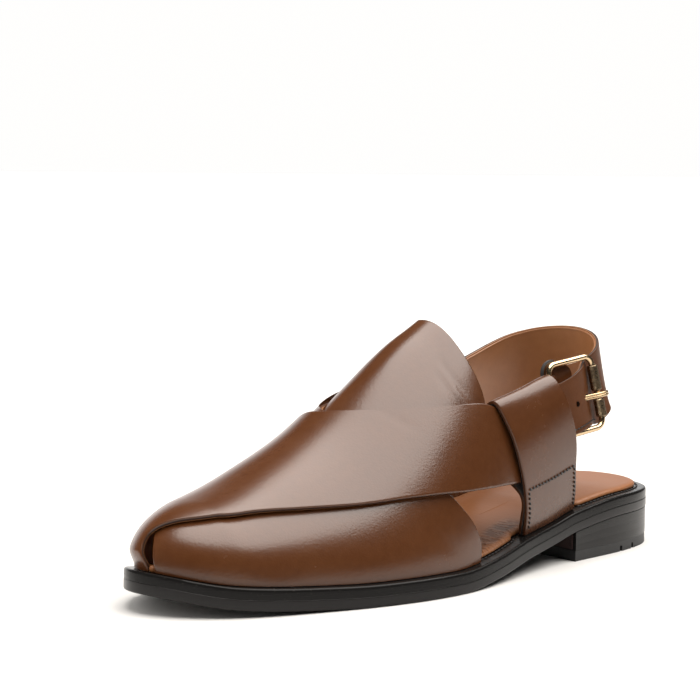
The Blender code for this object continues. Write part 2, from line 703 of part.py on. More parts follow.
def shell(outer, inner):
    """A closed wall between two grids of points, rows by columns."""
    rows, columns = outer.shape[:2]
    mesh = bmesh.new()
    bmesh.ops.create_grid(mesh, x_segments=rows - 1, y_segments=columns - 1, size=0.5)
    made = bmesh.ops.extrude_face_region(mesh, geom=mesh.faces[:])
    lifted = [v for v in made["geom"] if isinstance(v, bmesh.types.BMVert)]
    bmesh.ops.translate(mesh, verts=lifted, vec=(0.0, 0.0, 1.0))
    for vertex in mesh.verts:
        i = round((vertex.co.x + 0.5) * (rows - 1))
        j = round((vertex.co.y + 0.5) * (columns - 1))
        vertex.co = outer[i, j] if vertex.co.z > 0.5 else inner[i, j]
    bmesh.ops.recalc_face_normals(mesh, faces=mesh.faces[:])
    return mesh


def strap_pattern(flip):
    """Pattern points of one crossing strap. flip 1 is lasted on the medial side, -1 on the lateral."""
    front = TOP_FRONT if flip > 0 else UNDER_FRONT
    lasted = feather_run(-flip, front.start, REAR_EDGE[0].along, STRAP_COLUMNS)
    slit = [POLE + np.array([step.across, -step.ahead]) for step in front.steps]
    edge = LOW_EDGE if flip > 0 else UNDER_LOW_EDGE
    low_knots = [pattern(step.side * flip, along_to_y(step.along), step.up / 100.0) for step in edge]
    low = spline([lasted[0]] + slit + low_knots, STRAP_ROWS)
    rear = edge_curve(REAR_EDGE, STRAP_ROWS, flip, 0.0 if flip > 0 else UNDER_SETBACK)
    end = np.linspace(low[-1], rear[-1], STRAP_COLUMNS)
    return patch(low, rear, lasted, end)


def wall_points(grid, offset):
    """The upper over a grid of pattern points, moved out by offset(point)."""
    return np.array([[on_upper(point, offset(point)) for point in row] for row in grid])


def climb(point):
    """0 where the top strap lies on the last, 1 where it has climbed onto the strap under it."""
    side, down = place_on_last(point)[:2]
    share = 1.0 if side > 0.2 else min((1.0 - down) / CLIMB, 1.0)
    return share * share * (3.0 - 2.0 * share)


def make_upper(finish):
    under_pattern = strap_pattern(-1)
    under = shell(wall_points(under_pattern, lambda p: 0.0), wall_points(under_pattern, lambda p: -WALL))
    upper = add_object("upper", under, finish)
    over_pattern = strap_pattern(1)
    over = shell(
        wall_points(over_pattern, lambda p: WALL * climb(p)),
        wall_points(over_pattern, lambda p: -WALL + (WALL - EMBED) * climb(p)),
    )
    boolean(upper, add_object("top_strap", over, finish, cutters), "UNION")
    return as_mesh(upper)


def make_tongue(finish):
    """A wide tongue under both straps, from the vamp to its rear edge over the instep."""
    rear = edge_curve(TONGUE_REAR, TONGUE_COLUMNS)
    foot = TONGUE_FOOT / 100.0
    front_y = along_to_y(TONGUE_FRONT)
    front = np.linspace(pattern(1, front_y, foot), pattern(-1, front_y, foot), TONGUE_COLUMNS)
    ys = np.linspace(front_y, rear[0][1], TONGUE_ROWS)
    sides = [np.array([pattern(side, y, foot) for y in ys]) for side in (1, -1)]
    grid = patch(sides[0], sides[1], front, rear)
    outer = wall_points(grid, lambda p: -TONGUE_DEPTH)
    inner = wall_points(grid, lambda p: -TONGUE_DEPTH - TONGUE_WALL)
    return add_object("tongue", shell(outer, inner), finish)


def shifted(curve, distance):
    """An open flat profile moved to its right by a distance."""
    ahead = np.gradient(curve, axis=0)
    ahead /= np.linalg.norm(ahead, axis=1)[:, None]
    return curve + np.stack([ahead[:, 1], -ahead[:, 0]], axis=1) * distance


def make_side_loop(name, side, finish, extra_rise=0.0, splay=0.0):
    """A strap end folded over at the top, its two legs sewn together low down and lasted under the insole."""
    middle_y = along_to_y(LOOP_ALONG)
    reach = LOOP_FOOT_WIDTH / 2.0
    front = np.array([feather_x(middle_y - reach, side), middle_y - reach])
    rear = np.array([feather_x(middle_y + reach, side), middle_y + reach])
    middle = (front + rear) / 2.0
    slant = (rear - front) / np.linalg.norm(rear - front)
    outward = np.array([slant[1], -slant[0]]) * side
    top = max(step.up for step in LOOP_PROFILE)
    faces = {}
    for column in range(LOOP_COLUMNS):
        share = column / (LOOP_COLUMNS - 1.0)
        knots = []
        for step in LOOP_PROFILE:
            out = step.front + (step.rear - step.front) * share
            knots.append((out, step.up))
        outer = spline(knots, LOOP_STEPS)
        inner = shifted(outer, -LOOP_WALL)
        inner[0, 1] = inner[-1, 1] = 0.0
        for key, profile in (("outer", outer), ("inner", inner)):
            rows = []
            for out, up in profile:
                part_up = up / top
                up = up + extra_rise * part_up ** 2
                out = out + splay * part_up ** 2
                width = LOOP_FOOT_WIDTH + (LOOP_FOLD_WIDTH - LOOP_FOOT_WIDTH) * part_up
                run = (share - 0.5) * width - up * math.tan(math.radians(LOOP_LEAN))
                plan = middle + slant * run + outward * out
                foot_level = float(welt_top(middle[1] + (share - 0.5) * LOOP_FOOT_WIDTH)) + GAP
                grounded = float(welt_top(plan[1])) + GAP
                level = foot_level + up + LOOP_RISE * (share - 0.5) * part_up
                settle = min(up / LOOP_SETTLE, 1.0)
                rows.append((plan[0], plan[1], level * settle + (grounded + up) * (1.0 - settle)))
            faces.setdefault(key, []).append(rows)
    outer = np.array(faces["outer"]).transpose(1, 0, 2)
    inner = np.array(faces["inner"]).transpose(1, 0, 2)
    return add_object(name, shell(outer, inner), finish)


def strap_ways(points, leans):
    """Directions across and out from a strap that stands round the heel."""
    ahead = np.gradient(points, axis=0)
    ahead /= np.linalg.norm(ahead, axis=1)[:, None]
    out = np.stack([-ahead[:, 1], ahead[:, 0], np.zeros(len(ahead))], axis=1)
    out /= np.linalg.norm(out, axis=1)[:, None]
    rise_way = np.cross(ahead, out)
    lean = np.radians(leans)[:, None]
    return rise_way * np.cos(lean) - out * np.sin(lean), out * np.cos(lean) + rise_way * np.sin(lean)


def make_heel_strap(finish, prong_cutter):
    knots = np.array([(step.x, step.y, step.z) for step in HEEL_STRAP])
    path = spline(knots, HEEL_STRAP_STEPS)
    gone = np.concatenate([[0.0], np.cumsum(np.linalg.norm(np.diff(knots, axis=0), axis=1))])
    travelled = np.linspace(0.0, gone[-1], HEEL_STRAP_STEPS)
    widths = np.interp(travelled, gone, [step.width for step in HEEL_STRAP])
    leans = np.interp(travelled, gone, [step.lean for step in HEEL_STRAP])
    across, normal = strap_ways(path, leans)
    shares = np.linspace(-0.5, 0.5, HEEL_STRAP_COLUMNS)
    flat = np.array([[path[i] + across[i] * widths[i] * c for c in shares] for i in range(len(path))])
    half = normal[:, None] * HEEL_STRAP_WALL / 2.0
    strap = add_object("heel_strap", shell(flat - half, flat + half), finish)
    boolean(strap, prong_cutter, "DIFFERENCE")
    return strap


def frame_axes():
    slope = math.radians(FRAME_SLOPE)
    flare = math.radians(FRAME_FLARE)
    lean = math.radians(FRAME_LEAN)
    along = np.array([math.sin(flare) * math.cos(slope), math.cos(flare) * math.cos(slope), math.sin(slope)])
    side = np.array([math.cos(flare), -math.sin(flare), 0.0])
    rise_way = np.cross(side, along)
    out = side * math.cos(lean) + rise_way * math.sin(lean)
    rise_way = rise_way * math.cos(lean) - side * math.sin(lean)
    return along, rise_way, out


def in_frame(along, height, out):
    """A point given in the buckle's own axes."""
    ways = frame_axes()
    return np.array(FRAME_CENTRE) + ways[0] * along + ways[1] * height + ways[2] * out


def wire(name, points, radius, finish, closed=False, resolution=2, collection=None):
    """A round wire through points, as a curve."""
    data = bpy.data.curves.new(name, "CURVE")
    data.dimensions = "3D"
    data.bevel_depth = radius * MM
    data.bevel_resolution = resolution
    data.use_fill_caps = not closed
    line = data.splines.new("POLY")
    line.points.add(len(points) - 1)
    for knot, point in zip(line.points, points):
        knot.co = (*(np.asarray(point) * MM), 1.0)
    line.use_cyclic_u = closed
    line.use_smooth = True
    if finish is not None:
        data.materials.append(finish)
    item = bpy.data.objects.new(name, data)
    (collection or parts).objects.link(item)
    return item


def frame_outline():
    """The buckle's rounded rectangle, in its own along and rise."""
    points = []
    half_along = FRAME_ALONG / 2.0 - FRAME_CORNER
    half_rise = FRAME_RISE / 2.0 - FRAME_CORNER
    for quarter, (sa, sr) in enumerate(((1, 1), (-1, 1), (-1, -1), (1, -1))):
        for step in range(FRAME_CORNER_STEPS + 1):
            angle = math.radians(90.0 * (quarter + step / FRAME_CORNER_STEPS))
            along = sa * half_along + FRAME_CORNER * math.cos(angle)
            points.append((along, sr * half_rise + FRAME_CORNER * math.sin(angle)))
    return points


def prong_path():
    return spline([in_frame(step.along, PRONG_HEIGHT, step.out) for step in PRONG], PRONG_STEPS)


def make_buckle(finish):
    ring = [in_frame(along, height, 0.0) for along, height in frame_outline()]
    as_mesh(wire("buckle_frame", ring, WIRE, finish, closed=True))
    for name, (low, high) in zip(("buckle_roller_upper", "buckle_roller_lower"), ROLLER_SPANS):
        make_roller(name, low, high, finish)
    as_mesh(wire("buckle_prong", prong_path(), PRONG_RADIUS, finish))


def prong_clearance():
    line = wire("prong_hole", prong_path(), PRONG_RADIUS + HOLE_SLACK, None, collection=cutters)
    return as_mesh(line, cutters)


def make_roller(name, low, high, finish):
    """A tube turned round the frame's rear bar."""
    out_way = frame_axes()[2]
    mesh = bmesh.new()
    corners = []
    for radius, end in ((WIRE + GAP, low), (ROLLER, low), (ROLLER, high), (WIRE + GAP, high)):
        corners.append(mesh.verts.new(in_frame(FRAME_ALONG / 2.0, end, 0.0) + out_way * radius))
    for i in range(4):
        mesh.edges.new((corners[i], corners[(i + 1) % 4]))
    bmesh.ops.spin(
        mesh, geom=mesh.verts[:] + mesh.edges[:], cent=in_frame(FRAME_ALONG / 2.0, 0.0, 0.0),
        axis=frame_axes()[1], angle=2.0 * math.pi, steps=ROLLER_SIDES, use_merge=True,
    )
    bmesh.ops.recalc_face_normals(mesh, faces=mesh.faces[:])
    return add_object(name, mesh, finish)


def guard_outline():
    """The rounded end of the chape behind the frame's upper front corner, in along and height."""
    ring = []
    turns = ((GUARD_REAR, -80.0, 85.0), (GUARD_FRONT, 75.0, 285.0))
    for (along, height, radius), start, stop in turns:
        for angle in np.radians(np.linspace(start, stop, GUARD_STEPS)):
            ring.append((along + radius * math.cos(angle), height + radius * math.sin(angle)))
    return ring


def make_chape(finish):
    """A leather tab folded round the buckle's front bar, its two ends together towards the toe."""
    bar = -FRAME_ALONG / 2.0
    inside = WIRE + GAP
    half_turn = np.linspace(math.pi / 2.0, -math.pi / 2.0, CHAPE_TURN_STEPS)
    turn = [(bar + inside * math.cos(a), inside * math.sin(a)) for a in half_turn]
    outer_leg = [
        (bar - CHAPE_TAIL, CHAPE_TAIL_GAP),
        (bar - CHAPE_NECK, CHAPE_NECK_GAP),
        (bar - CHAPE_BEND, inside),
    ]
    inner_leg = [(along, -out) for along, out in reversed(outer_leg)]
    inner = resample(np.array(outer_leg + turn + inner_leg), CHAPE_STEPS)
    outer = shifted(inner, -CHAPE_WALL)

    def stand(profile):
        rows = []
        for along, out in profile:
            forward = max(bar - along, 0.0) / CHAPE_TAIL
            half = CHAPE_HALF - CHAPE_TAPER * math.sqrt(forward)
            rows.append([in_frame(along, h, out) for h in np.linspace(-half, half, CHAPE_COLUMNS)])
        return np.array(rows)

    chape = add_object("buckle_chape", shell(stand(outer), stand(inner)), finish)
    slot = bmesh.new()
    bmesh.ops.create_cube(slot, size=1.0)
    for vertex in slot.verts:
        reach = [share * size for share, size in zip(vertex.co, CHAPE_SLOT)]
        vertex.co = in_frame(bar + CHAPE_SLOT_REACH + reach[0], PRONG_HEIGHT + reach[1], reach[2])
    bmesh.ops.recalc_face_normals(slot, faces=slot.faces[:])
    guard = bmesh.new()
    under = GUARD_LEVEL - CHAPE_WALL / 2.0
    guard.faces.new([guard.verts.new(in_frame(a, h, under)) for a, h in guard_outline()])
    made = bmesh.ops.extrude_face_region(guard, geom=guard.faces[:])
    lifted = [v for v in made["geom"] if isinstance(v, bmesh.types.BMVert)]
    bmesh.ops.translate(guard, verts=lifted, vec=frame_axes()[2] * CHAPE_WALL)
    bmesh.ops.recalc_face_normals(guard, faces=guard.faces[:])
    boolean(chape, add_object("chape_guard", guard, None, cutters), "UNION")
    boolean(chape, add_object("chape_slot", slot, None, cutters), "DIFFERENCE")
    return chape


def main():
    clear_scene()
    bpy.context.scene.collection.children.link(parts)
    bpy.context.scene.collection.children.link(cutters)
    black = material("sole_edge_black", (0.02, 0.018, 0.017), 0.35)
    stack = material("stacked_leather_black", (0.03, 0.027, 0.025), 0.4)
    rubber = material("rubber_black", (0.02, 0.02, 0.02), 0.7)
    brown = material("leather_brown", (0.17, 0.075, 0.035), 0.35)
    tan = material("lining_tan", (0.42, 0.2, 0.09), 0.5)
    brass = material("antique_brass", (0.72, 0.58, 0.38), 0.3, 1.0)
    make_outsole(black)
    make_midsole(black)
    make_heel_stack(stack)
    make_heel_top_piece(rubber)
    make_insole(tan)
    make_upper(brown)
    make_tongue(brown)
    make_side_loop("side_loop_lateral", 1, brown)
    make_side_loop("side_loop_medial", -1, brown, MEDIAL_LOOP_RISE, MEDIAL_LOOP_SPLAY)
    make_heel_strap(brown, prong_clearance())
    make_buckle(brass)
    make_chape(brown)


main()
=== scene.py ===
"""Looks of a peshawari chappal, left shoe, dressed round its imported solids.

The heel is at +Y, the toe at -Y, the lateral side at +X, and the shoe stands on z = 0. Tables and sizes are
in millimetres; finished meshes are in metres.
"""
import math
from collections import namedtuple

import bmesh
import bpy
import numpy as np
from mathutils import Matrix, Vector


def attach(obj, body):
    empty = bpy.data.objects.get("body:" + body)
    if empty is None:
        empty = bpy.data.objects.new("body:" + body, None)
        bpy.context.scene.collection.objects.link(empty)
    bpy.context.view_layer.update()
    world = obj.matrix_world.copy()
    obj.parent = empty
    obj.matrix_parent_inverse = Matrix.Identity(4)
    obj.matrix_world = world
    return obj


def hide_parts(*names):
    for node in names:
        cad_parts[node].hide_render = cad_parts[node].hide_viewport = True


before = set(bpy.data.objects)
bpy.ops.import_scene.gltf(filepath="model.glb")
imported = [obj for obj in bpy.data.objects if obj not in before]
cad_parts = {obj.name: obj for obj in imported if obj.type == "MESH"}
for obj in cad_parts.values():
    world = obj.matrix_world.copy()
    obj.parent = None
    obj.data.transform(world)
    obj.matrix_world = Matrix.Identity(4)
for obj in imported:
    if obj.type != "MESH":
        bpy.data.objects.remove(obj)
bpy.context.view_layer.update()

MM = 0.001
# Driving sizes.
LENGTH = 272.0          # heel back to toe tip of the sole
BALL_WIDTH = 92.6       # across the sole at the joints
INSTEP = 110.0          # floor to the top of the instep
HEEL_LIFT = 16.0        # floor to the underside of the outsole at the heel
OUTSOLE = 4.1
MIDSOLE = 4.1
GAP = 0.3               # clearance between neighbouring pieces
LEDGE = 4.0             # midsole edge outside the upper
WALL = 2.0              # leather of the crossing straps, with their lining
TONGUE_WALL = 1.8
LOOP_WALL = 1.5
HEEL_STRAP_WALL = 2.2
TOP_PIECE = 4.3
WIRE = 1.3              # radius of the buckle's wire
ROLLER = 2.35           # outer radius of the buckle's roller

# The sole's edge. along: percent of the length from the heel. across: percent of the ball width, lateral +.
EdgePoint = namedtuple("EdgePoint", "place along across")
SOLE_EDGE = (
    EdgePoint("heel back", 0.0, -5.6),
    EdgePoint("heel corner, lateral", 2.9, 18.2),
    EdgePoint("seat, lateral", 10.6, 29.4),
    EdgePoint("heel breast, lateral", 24.3, 33.5),
    EdgePoint("waist, lateral", 38.8, 39.8),
    EdgePoint("fifth joint", 56.3, 49.8),
    EdgePoint("ball, lateral", 66.1, 48.3),
    EdgePoint("little toe", 81.9, 35.6),
    EdgePoint("toe corner, lateral", 95.3, 14.7),
    EdgePoint("toe tip", 100.0, -13.1),
    EdgePoint("toe corner, medial", 94.2, -35.3),
    EdgePoint("big toe", 80.9, -46.9),
    EdgePoint("ball, medial", 68.4, -50.0),
    EdgePoint("first joint", 56.6, -46.0),
    EdgePoint("waist, medial", 40.8, -36.8),
    EdgePoint("heel breast, medial", 24.2, -36.6),
    EdgePoint("seat, medial", 10.0, -38.3),
    EdgePoint("heel corner, medial", 2.2, -29.4),
)

# The underside of the outsole. lift: percent of the heel lift.
Rise = namedtuple("Rise", "place along lift")
SOLE_RISE = (
    Rise("heel back", 0.0, 98.0),
    Rise("seat", 13.0, 99.0),
    Rise("heel breast", 26.0, 78.0),
    Rise("shank", 31.6, 59.0),
    Rise("waist", 39.0, 40.0),
    Rise("joint", 48.0, 15.0),
    Rise("tread starts", 57.0, 0.0),
    Rise("tread ends", 71.5, 0.0),
    Rise("toes", 80.0, 5.0),
    Rise("toe spring", 91.0, 18.0),
    Rise("toe tip", 100.0, 50.0),
)

# Cross sections of the upper. crown: height of the ridge, percent of the instep. ridge: its place across,
# percent of the ball width. lateral, medial: how pinched each side is, 1 an ellipse, 2 a straight slope.
Section = namedtuple("Section", "along crown ridge lateral medial")
UPPER_SECTIONS = (
    Section(100.0, 29.0, -11.0, 0.80, 0.80),
    Section(95.0, 31.2, -11.5, 0.82, 0.82),
    Section(90.0, 33.6, -12.0, 0.88, 0.86),
    Section(85.0, 36.9, -12.0, 0.94, 0.90),
    Section(78.0, 43.6, -12.0, 1.02, 0.96),
    Section(70.0, 53.2, -12.0, 1.10, 1.02),
    Section(62.0, 67.5, -11.5, 1.14, 1.06),
    Section(55.0, 81.3, -11.0, 1.14, 1.08),
    Section(49.0, 91.2, -10.5, 1.12, 1.08),
    Section(44.0, 97.8, -10.0, 1.10, 1.08),
    Section(38.0, 102.0, -8.0, 1.10, 1.08),
    Section(30.0, 105.0, -6.0, 1.10, 1.08),
)
FAN_POLE = 90.0         # along, percent: ahead of it the sections fan round the toe

# Edges of a crossing strap. along: percent of the length. up: percent of the way from feather edge to ridge.
# The low edge is on the far side from where the strap is lasted. The rear edge starts at the feather edge.
EdgeStep = namedtuple("EdgeStep", "side along up")
LOW_EDGE = (
    EdgeStep(1, 98.2, 60.2),
    EdgeStep(1, 96.9, 66.2),
    EdgeStep(1, 93.6, 68.4),
    EdgeStep(1, 89.6, 67.2),
    EdgeStep(1, 86.0, 61.4),
    EdgeStep(1, 80.8, 52.4),
    EdgeStep(1, 75.0, 44.6),
    EdgeStep(1, 65.4, 35.5),
    EdgeStep(1, 57.2, 28.4),
    EdgeStep(1, 48.7, 21.9),
    EdgeStep(1, 41.0, 17.6),
)
UNDER_LOW_EDGE = LOW_EDGE[3:]    # the under strap turns round the toe in one sweep
REAR_EDGE = (
    EdgeStep(-1, 51.2, 0.0),
    EdgeStep(-1, 51.0, 6.0),
    EdgeStep(-1, 51.8, 12.0),
    EdgeStep(-1, 54.0, 20.0),
    EdgeStep(-1, 56.8, 29.0),
    EdgeStep(-1, 61.5, 47.0),
    EdgeStep(-1, 65.0, 72.0),
    EdgeStep(1, 65.6, 96.0),
    EdgeStep(1, 64.3, 84.6),
    EdgeStep(1, 61.4, 71.0),
    EdgeStep(1, 55.3, 56.6),
    EdgeStep(1, 50.4, 49.8),
    EdgeStep(1, 45.2, 43.6),
    EdgeStep(1, 42.2, 38.8),
    EdgeStep(1, 39.2, 35.5),
)
UNDER_SETBACK = 2.2     # percent of the length: the under strap's rear edge lies further back on the ridge

# The two straps' front edges, either side of the slit at the toe, up from the feather edge. ahead: from the
# pole of the toe's fan to the front. across: lateral +. start: where the edge leaves the feather edge, past
# the toe tip towards the side where the strap is lasted.
FrontEdge = namedtuple("FrontEdge", "start steps")
FrontStep = namedtuple("FrontStep", "ahead across")
TOP_FRONT = FrontEdge(-3.0, (FrontStep(19.7, 1.8), FrontStep(16.6, 0.7), FrontStep(13.6, 0.5)))
UNDER_FRONT = FrontEdge(6.0, (FrontStep(19.6, 4.7), FrontStep(17.0, 3.3), FrontStep(13.8, 1.6)))

# The tongue: where it starts under the straps, and its rear edge over the ridge.
TONGUE_FRONT = 74.0
TONGUE_FOOT = 36.0      # up, percent, of its two side edges
TONGUE_REAR = (
    EdgeStep(1, 46.4, 36.0),
    EdgeStep(1, 45.1, 40.5),
    EdgeStep(1, 43.7, 44.8),
    EdgeStep(1, 43.8, 50.5),
    EdgeStep(1, 44.8, 64.0),
    EdgeStep(1, 45.7, 81.0),
    EdgeStep(1, 46.3, 94.0),
    EdgeStep(-1, 46.3, 94.0),
    EdgeStep(-1, 45.6, 82.0),
    EdgeStep(-1, 45.2, 65.0),
    EdgeStep(-1, 44.9, 53.0),
    EdgeStep(-1, 45.4, 44.0),
    EdgeStep(-1, 46.2, 36.0),
)

# Side loop: how far its outer face stands out from its foot at its front and rear edges, over the
# fold and down the inner leg. Both legs are lasted under the insole.
LoopStep = namedtuple("LoopStep", "place up front rear")
LOOP_PROFILE = (
    LoopStep("outer foot", 0.0, 0.0, 0.0),
    LoopStep("outer leg, sewn", 8.0, 2.2, 2.4),
    LoopStep("outer leg, sewn top", 17.5, 3.4, 4.2),
    LoopStep("outer leg, bulge", 30.0, 3.0, 6.6),
    LoopStep("outer leg, top", 42.0, 1.0, 6.0),
    LoopStep("fold, outer", 50.8, -2.4, 3.4),
    LoopStep("fold, crest", 56.8, -7.0, -2.4),
    LoopStep("fold, inner", 52.0, -12.8, -9.4),
    LoopStep("inner leg, top", 42.0, -11.0, -10.2),
    LoopStep("inner leg, middle", 30.0, -7.8, -8.0),
    LoopStep("inner leg, open", 22.5, -5.0, -4.4),
    LoopStep("inner leg, sewn top", 17.0, -0.2, 0.1),
    LoopStep("inner leg, sewn", 8.0, -1.3, -1.1),
    LoopStep("inner foot", 0.0, -3.5, -3.5),
)
LOOP_FOOT_WIDTH = 37.4
LOOP_FOLD_WIDTH = 34.0
LOOP_ALONG = 32.0       # percent of the length, the middle of the foot of both loops
LOOP_LEAN = 15.5        # degrees, forward lean of the loop
MEDIAL_LOOP_RISE = 2.5  # the medial loop's fold is higher and stands further out
MEDIAL_LOOP_SPLAY = 3.2
LOOP_RISE = 2.0         # how much higher the fold's rear edge is, beyond the rise of its foot

# Heel strap, from its end in the medial loop, round the heel, to its tip in the lateral loop.
StrapStep = namedtuple("StrapStep", "place x y z width lean")
HEEL_STRAP = (
    StrapStep("medial end", -28.2, 36.0, 60.2, 15.0, 5.0),
    StrapStep("medial loop", -30.0, 50.0, 65.2, 23.0, 7.0),
    StrapStep("medial", -31.6, 64.0, 68.9, 27.6, 9.0),
    StrapStep("medial rear", -32.0, 78.0, 72.7, 28.0, 9.5),
    StrapStep("medial turn", -29.4, 88.0, 76.1, 27.6, 9.5),
    StrapStep("heel, medial", -23.8, 94.9, 78.9, 27.0, 9.5),
    StrapStep("heel, medial back", -14.4, 100.2, 80.9, 27.0, 9.5),
    StrapStep("heel back", -3.2, 102.2, 81.4, 27.0, 9.5),
    StrapStep("heel, lateral back", 8.0, 100.2, 80.1, 27.0, 10.0),
    StrapStep("heel, lateral", 17.0, 95.0, 77.3, 27.0, 11.0),
    StrapStep("lateral turn", 22.6, 87.6, 73.7, 27.0, 10.5),
    StrapStep("under the roller", 24.1, 80.0, 69.9, 28.2, 9.5),
    StrapStep("bend before the roller", 25.7, 75.9, 69.3, 26.4, 9.5),
    StrapStep("in the frame", 28.4, 71.6, 68.6, 24.8, 9.5),
    StrapStep("past the frame", 30.3, 65.5, 66.9, 23.2, 9.5),
    StrapStep("over the front bar", 30.5, 54.0, 63.8, 22.6, 8.0),
    StrapStep("lateral loop", 29.4, 43.0, 61.2, 20.0, 6.0),
    StrapStep("tip", 28.8, 35.0, 59.4, 15.0, 5.0),
)

# Buckle: a flat frame on the lateral side. Its own axes are along (towards the heel), rise and out.
FRAME_CENTRE = (27.2, 67.1, 69.0)
FRAME_ALONG = 24.6      # between the middles of the front and rear bars
FRAME_RISE = 30.2       # between the middles of the top and bottom bars
FRAME_CORNER = 4.0
FRAME_SLOPE = 7.8       # degrees, up towards the heel
FRAME_FLARE = 6.3       # degrees, outwards towards the heel
FRAME_LEAN = 9.5        # degrees, the frame's top leans in with the strap
ROLLER_SPANS = ((0.4, 10.9), (-10.9, -3.5))

# Chape: a leather tab folded round the frame's front bar. Its half height narrows towards its front end.
# Its guard is a rounded end that stands behind the frame's upper front corner.
CHAPE_WALL = 1.0
CHAPE_TAIL = 8.0        # how far the chape runs forward of the front bar
CHAPE_HALF = 10.8       # half height at the bar
CHAPE_TAPER = 5.2       # how much smaller the half height is at the front end
CHAPE_BEND = 1.6        # forward of the bar, where the fold begins
CHAPE_NECK = 4.5        # forward of the bar, where the two legs come together
CHAPE_NECK_GAP = 0.3    # half the space between the legs there
CHAPE_TAIL_GAP = 0.15   # and at the front end
GUARD_FRONT = (-8.3, 11.3, 6.0)     # along, height and radius of the guard's front rounding
GUARD_REAR = (-2.6, 9.6, 4.6)       # and of its rear rounding
GUARD_LEVEL = -2.3      # its middle, out from the frame
GUARD_STEPS = 7

# Prong, from the front bar, out through the strap and over the roller.
ProngStep = namedtuple("ProngStep", "place along out")
PRONG = (
    ProngStep("root", -10.4, 0.0),
    ProngStep("under the tip", -5.0, 0.2),
    ProngStep("in the hole", 1.0, 0.6),
    ProngStep("out of the hole", 5.4, 2.1),
    ProngStep("before the roller", 8.4, 3.8),
    ProngStep("over the roller", 12.3, 4.1),
    ProngStep("past the roller", 14.6, 3.4),
    ProngStep("point", 16.2, 2.0),
)
PRONG_RADIUS = 1.15
PRONG_HEIGHT = -1.55    # of the prong, in the frame's rise
HOLE_SLACK = 0.45       # round the prong where it comes through the strap


def along_to_y(along):
    return LENGTH * (0.5 - along / 100.0)


def across_to_x(across):
    return BALL_WIDTH * across / 100.0


def monotone(table_x, table_y):
    """A smooth function through table rows that never swings past them."""
    order = np.argsort(table_x)
    xs = np.asarray(table_x, float)[order]
    ys = np.asarray(table_y, float)[order]
    steps = np.diff(xs)
    slopes = np.diff(ys) / steps
    tangents = np.zeros(len(xs))
    tangents[0] = slopes[0]
    tangents[-1] = slopes[-1]
    for i in range(1, len(xs) - 1):
        before, after = slopes[i - 1], slopes[i]
        if before * after > 0.0:
            w1 = 2.0 * steps[i] + steps[i - 1]
            w2 = steps[i] + 2.0 * steps[i - 1]
            tangents[i] = (w1 + w2) / (w1 / before + w2 / after)

    def value(x):
        x = np.clip(x, xs[0], xs[-1])
        i = np.clip(np.searchsorted(xs, x, side="right") - 1, 0, len(steps) - 1)
        t = (x - xs[i]) / steps[i]
        return (
            ys[i] * (1.0 + 2.0 * t) * (1.0 - t) ** 2
            + ys[i + 1] * t * t * (3.0 - 2.0 * t)
            + steps[i] * tangents[i] * t * (1.0 - t) ** 2
            - steps[i] * tangents[i + 1] * t * t * (1.0 - t)
        )

    return value


def spline(knots, count, closed=False):
    """Points evenly spread along a smooth curve through the knots."""
    knots = np.asarray(knots, float)
    ring = np.vstack([knots, knots[:1]]) if closed else knots
    spans = np.linalg.norm(np.diff(ring, axis=0), axis=1)
    size = len(knots)
    system = np.eye(size)
    sides = np.zeros_like(knots)
    for i in range(size):
        if not closed and i in (0, size - 1):
            continue
        before, after = spans[i - 1], spans[i]
        system[i, i] = 2.0 * (before + after)
        system[i, i - 1] += before
        system[i, (i + 1) % size] += after
        ahead = (knots[(i + 1) % size] - knots[i]) / after
        sides[i] = 6.0 * (ahead - (knots[i] - knots[i - 1]) / before)
    bends = np.linalg.solve(system, sides)
    if closed:
        bends = np.vstack([bends, bends[:1]])
    dense = []
    for i, span in enumerate(spans):
        t = np.linspace(0.0, span, 24, endpoint=False)[:, None]
        left = span - t
        dense.append(
            bends[i] * left ** 3 / (6.0 * span)
            + bends[i + 1] * t ** 3 / (6.0 * span)
            + (ring[i] / span - bends[i] * span / 6.0) * left
            + (ring[i + 1] / span - bends[i + 1] * span / 6.0) * t
        )
    dense = np.vstack(dense + [ring[-1:]])
    return resample(dense, count + 1)[:-1] if closed else resample(dense, count)


def travel(points):
    """Distance gone along a polyline at each of its points."""
    return np.concatenate([[0.0], np.cumsum(np.linalg.norm(np.diff(points, axis=0), axis=1))])


def at_distances(points, wanted):
    travelled = travel(points)
    return np.stack([np.interp(wanted, travelled, points[:, k]) for k in range(points.shape[1])], axis=1)


def resample(points, count):
    """The same open polyline as count points, evenly spaced along it."""
    return at_distances(points, np.linspace(0.0, travel(points)[-1], count))


def inset(curve, distance):
    """A closed curve moved inwards; distance may differ from point to point."""
    ahead = np.roll(curve, -1, axis=0) - np.roll(curve, 1, axis=0)
    ahead /= np.linalg.norm(ahead, axis=1)[:, None]
    inward = np.stack([ahead[:, 1], -ahead[:, 0]], axis=1)
    return curve + inward * np.reshape(distance, (-1, 1)) * np.ones((len(curve), 1))


def thin(curve, count):
    return resample(np.vstack([curve, curve[:1]]), count + 1)[:-1]


def centred(curve):
    return curve - (curve.min(axis=0) + curve.max(axis=0)) / 2.0


def shifted(curve, distance):
    """An open flat profile moved to its right by a distance."""
    ahead = np.gradient(curve, axis=0)
    ahead /= np.linalg.norm(ahead, axis=1)[:, None]
    return curve + np.stack([ahead[:, 1], -ahead[:, 0]], axis=1) * distance


EDGE_KNOTS = [(across_to_x(p.across), along_to_y(p.along)) for p in SOLE_EDGE]
EDGE = centred(spline(EDGE_KNOTS, 720, closed=True))
FEATHER = inset(EDGE, LEDGE)

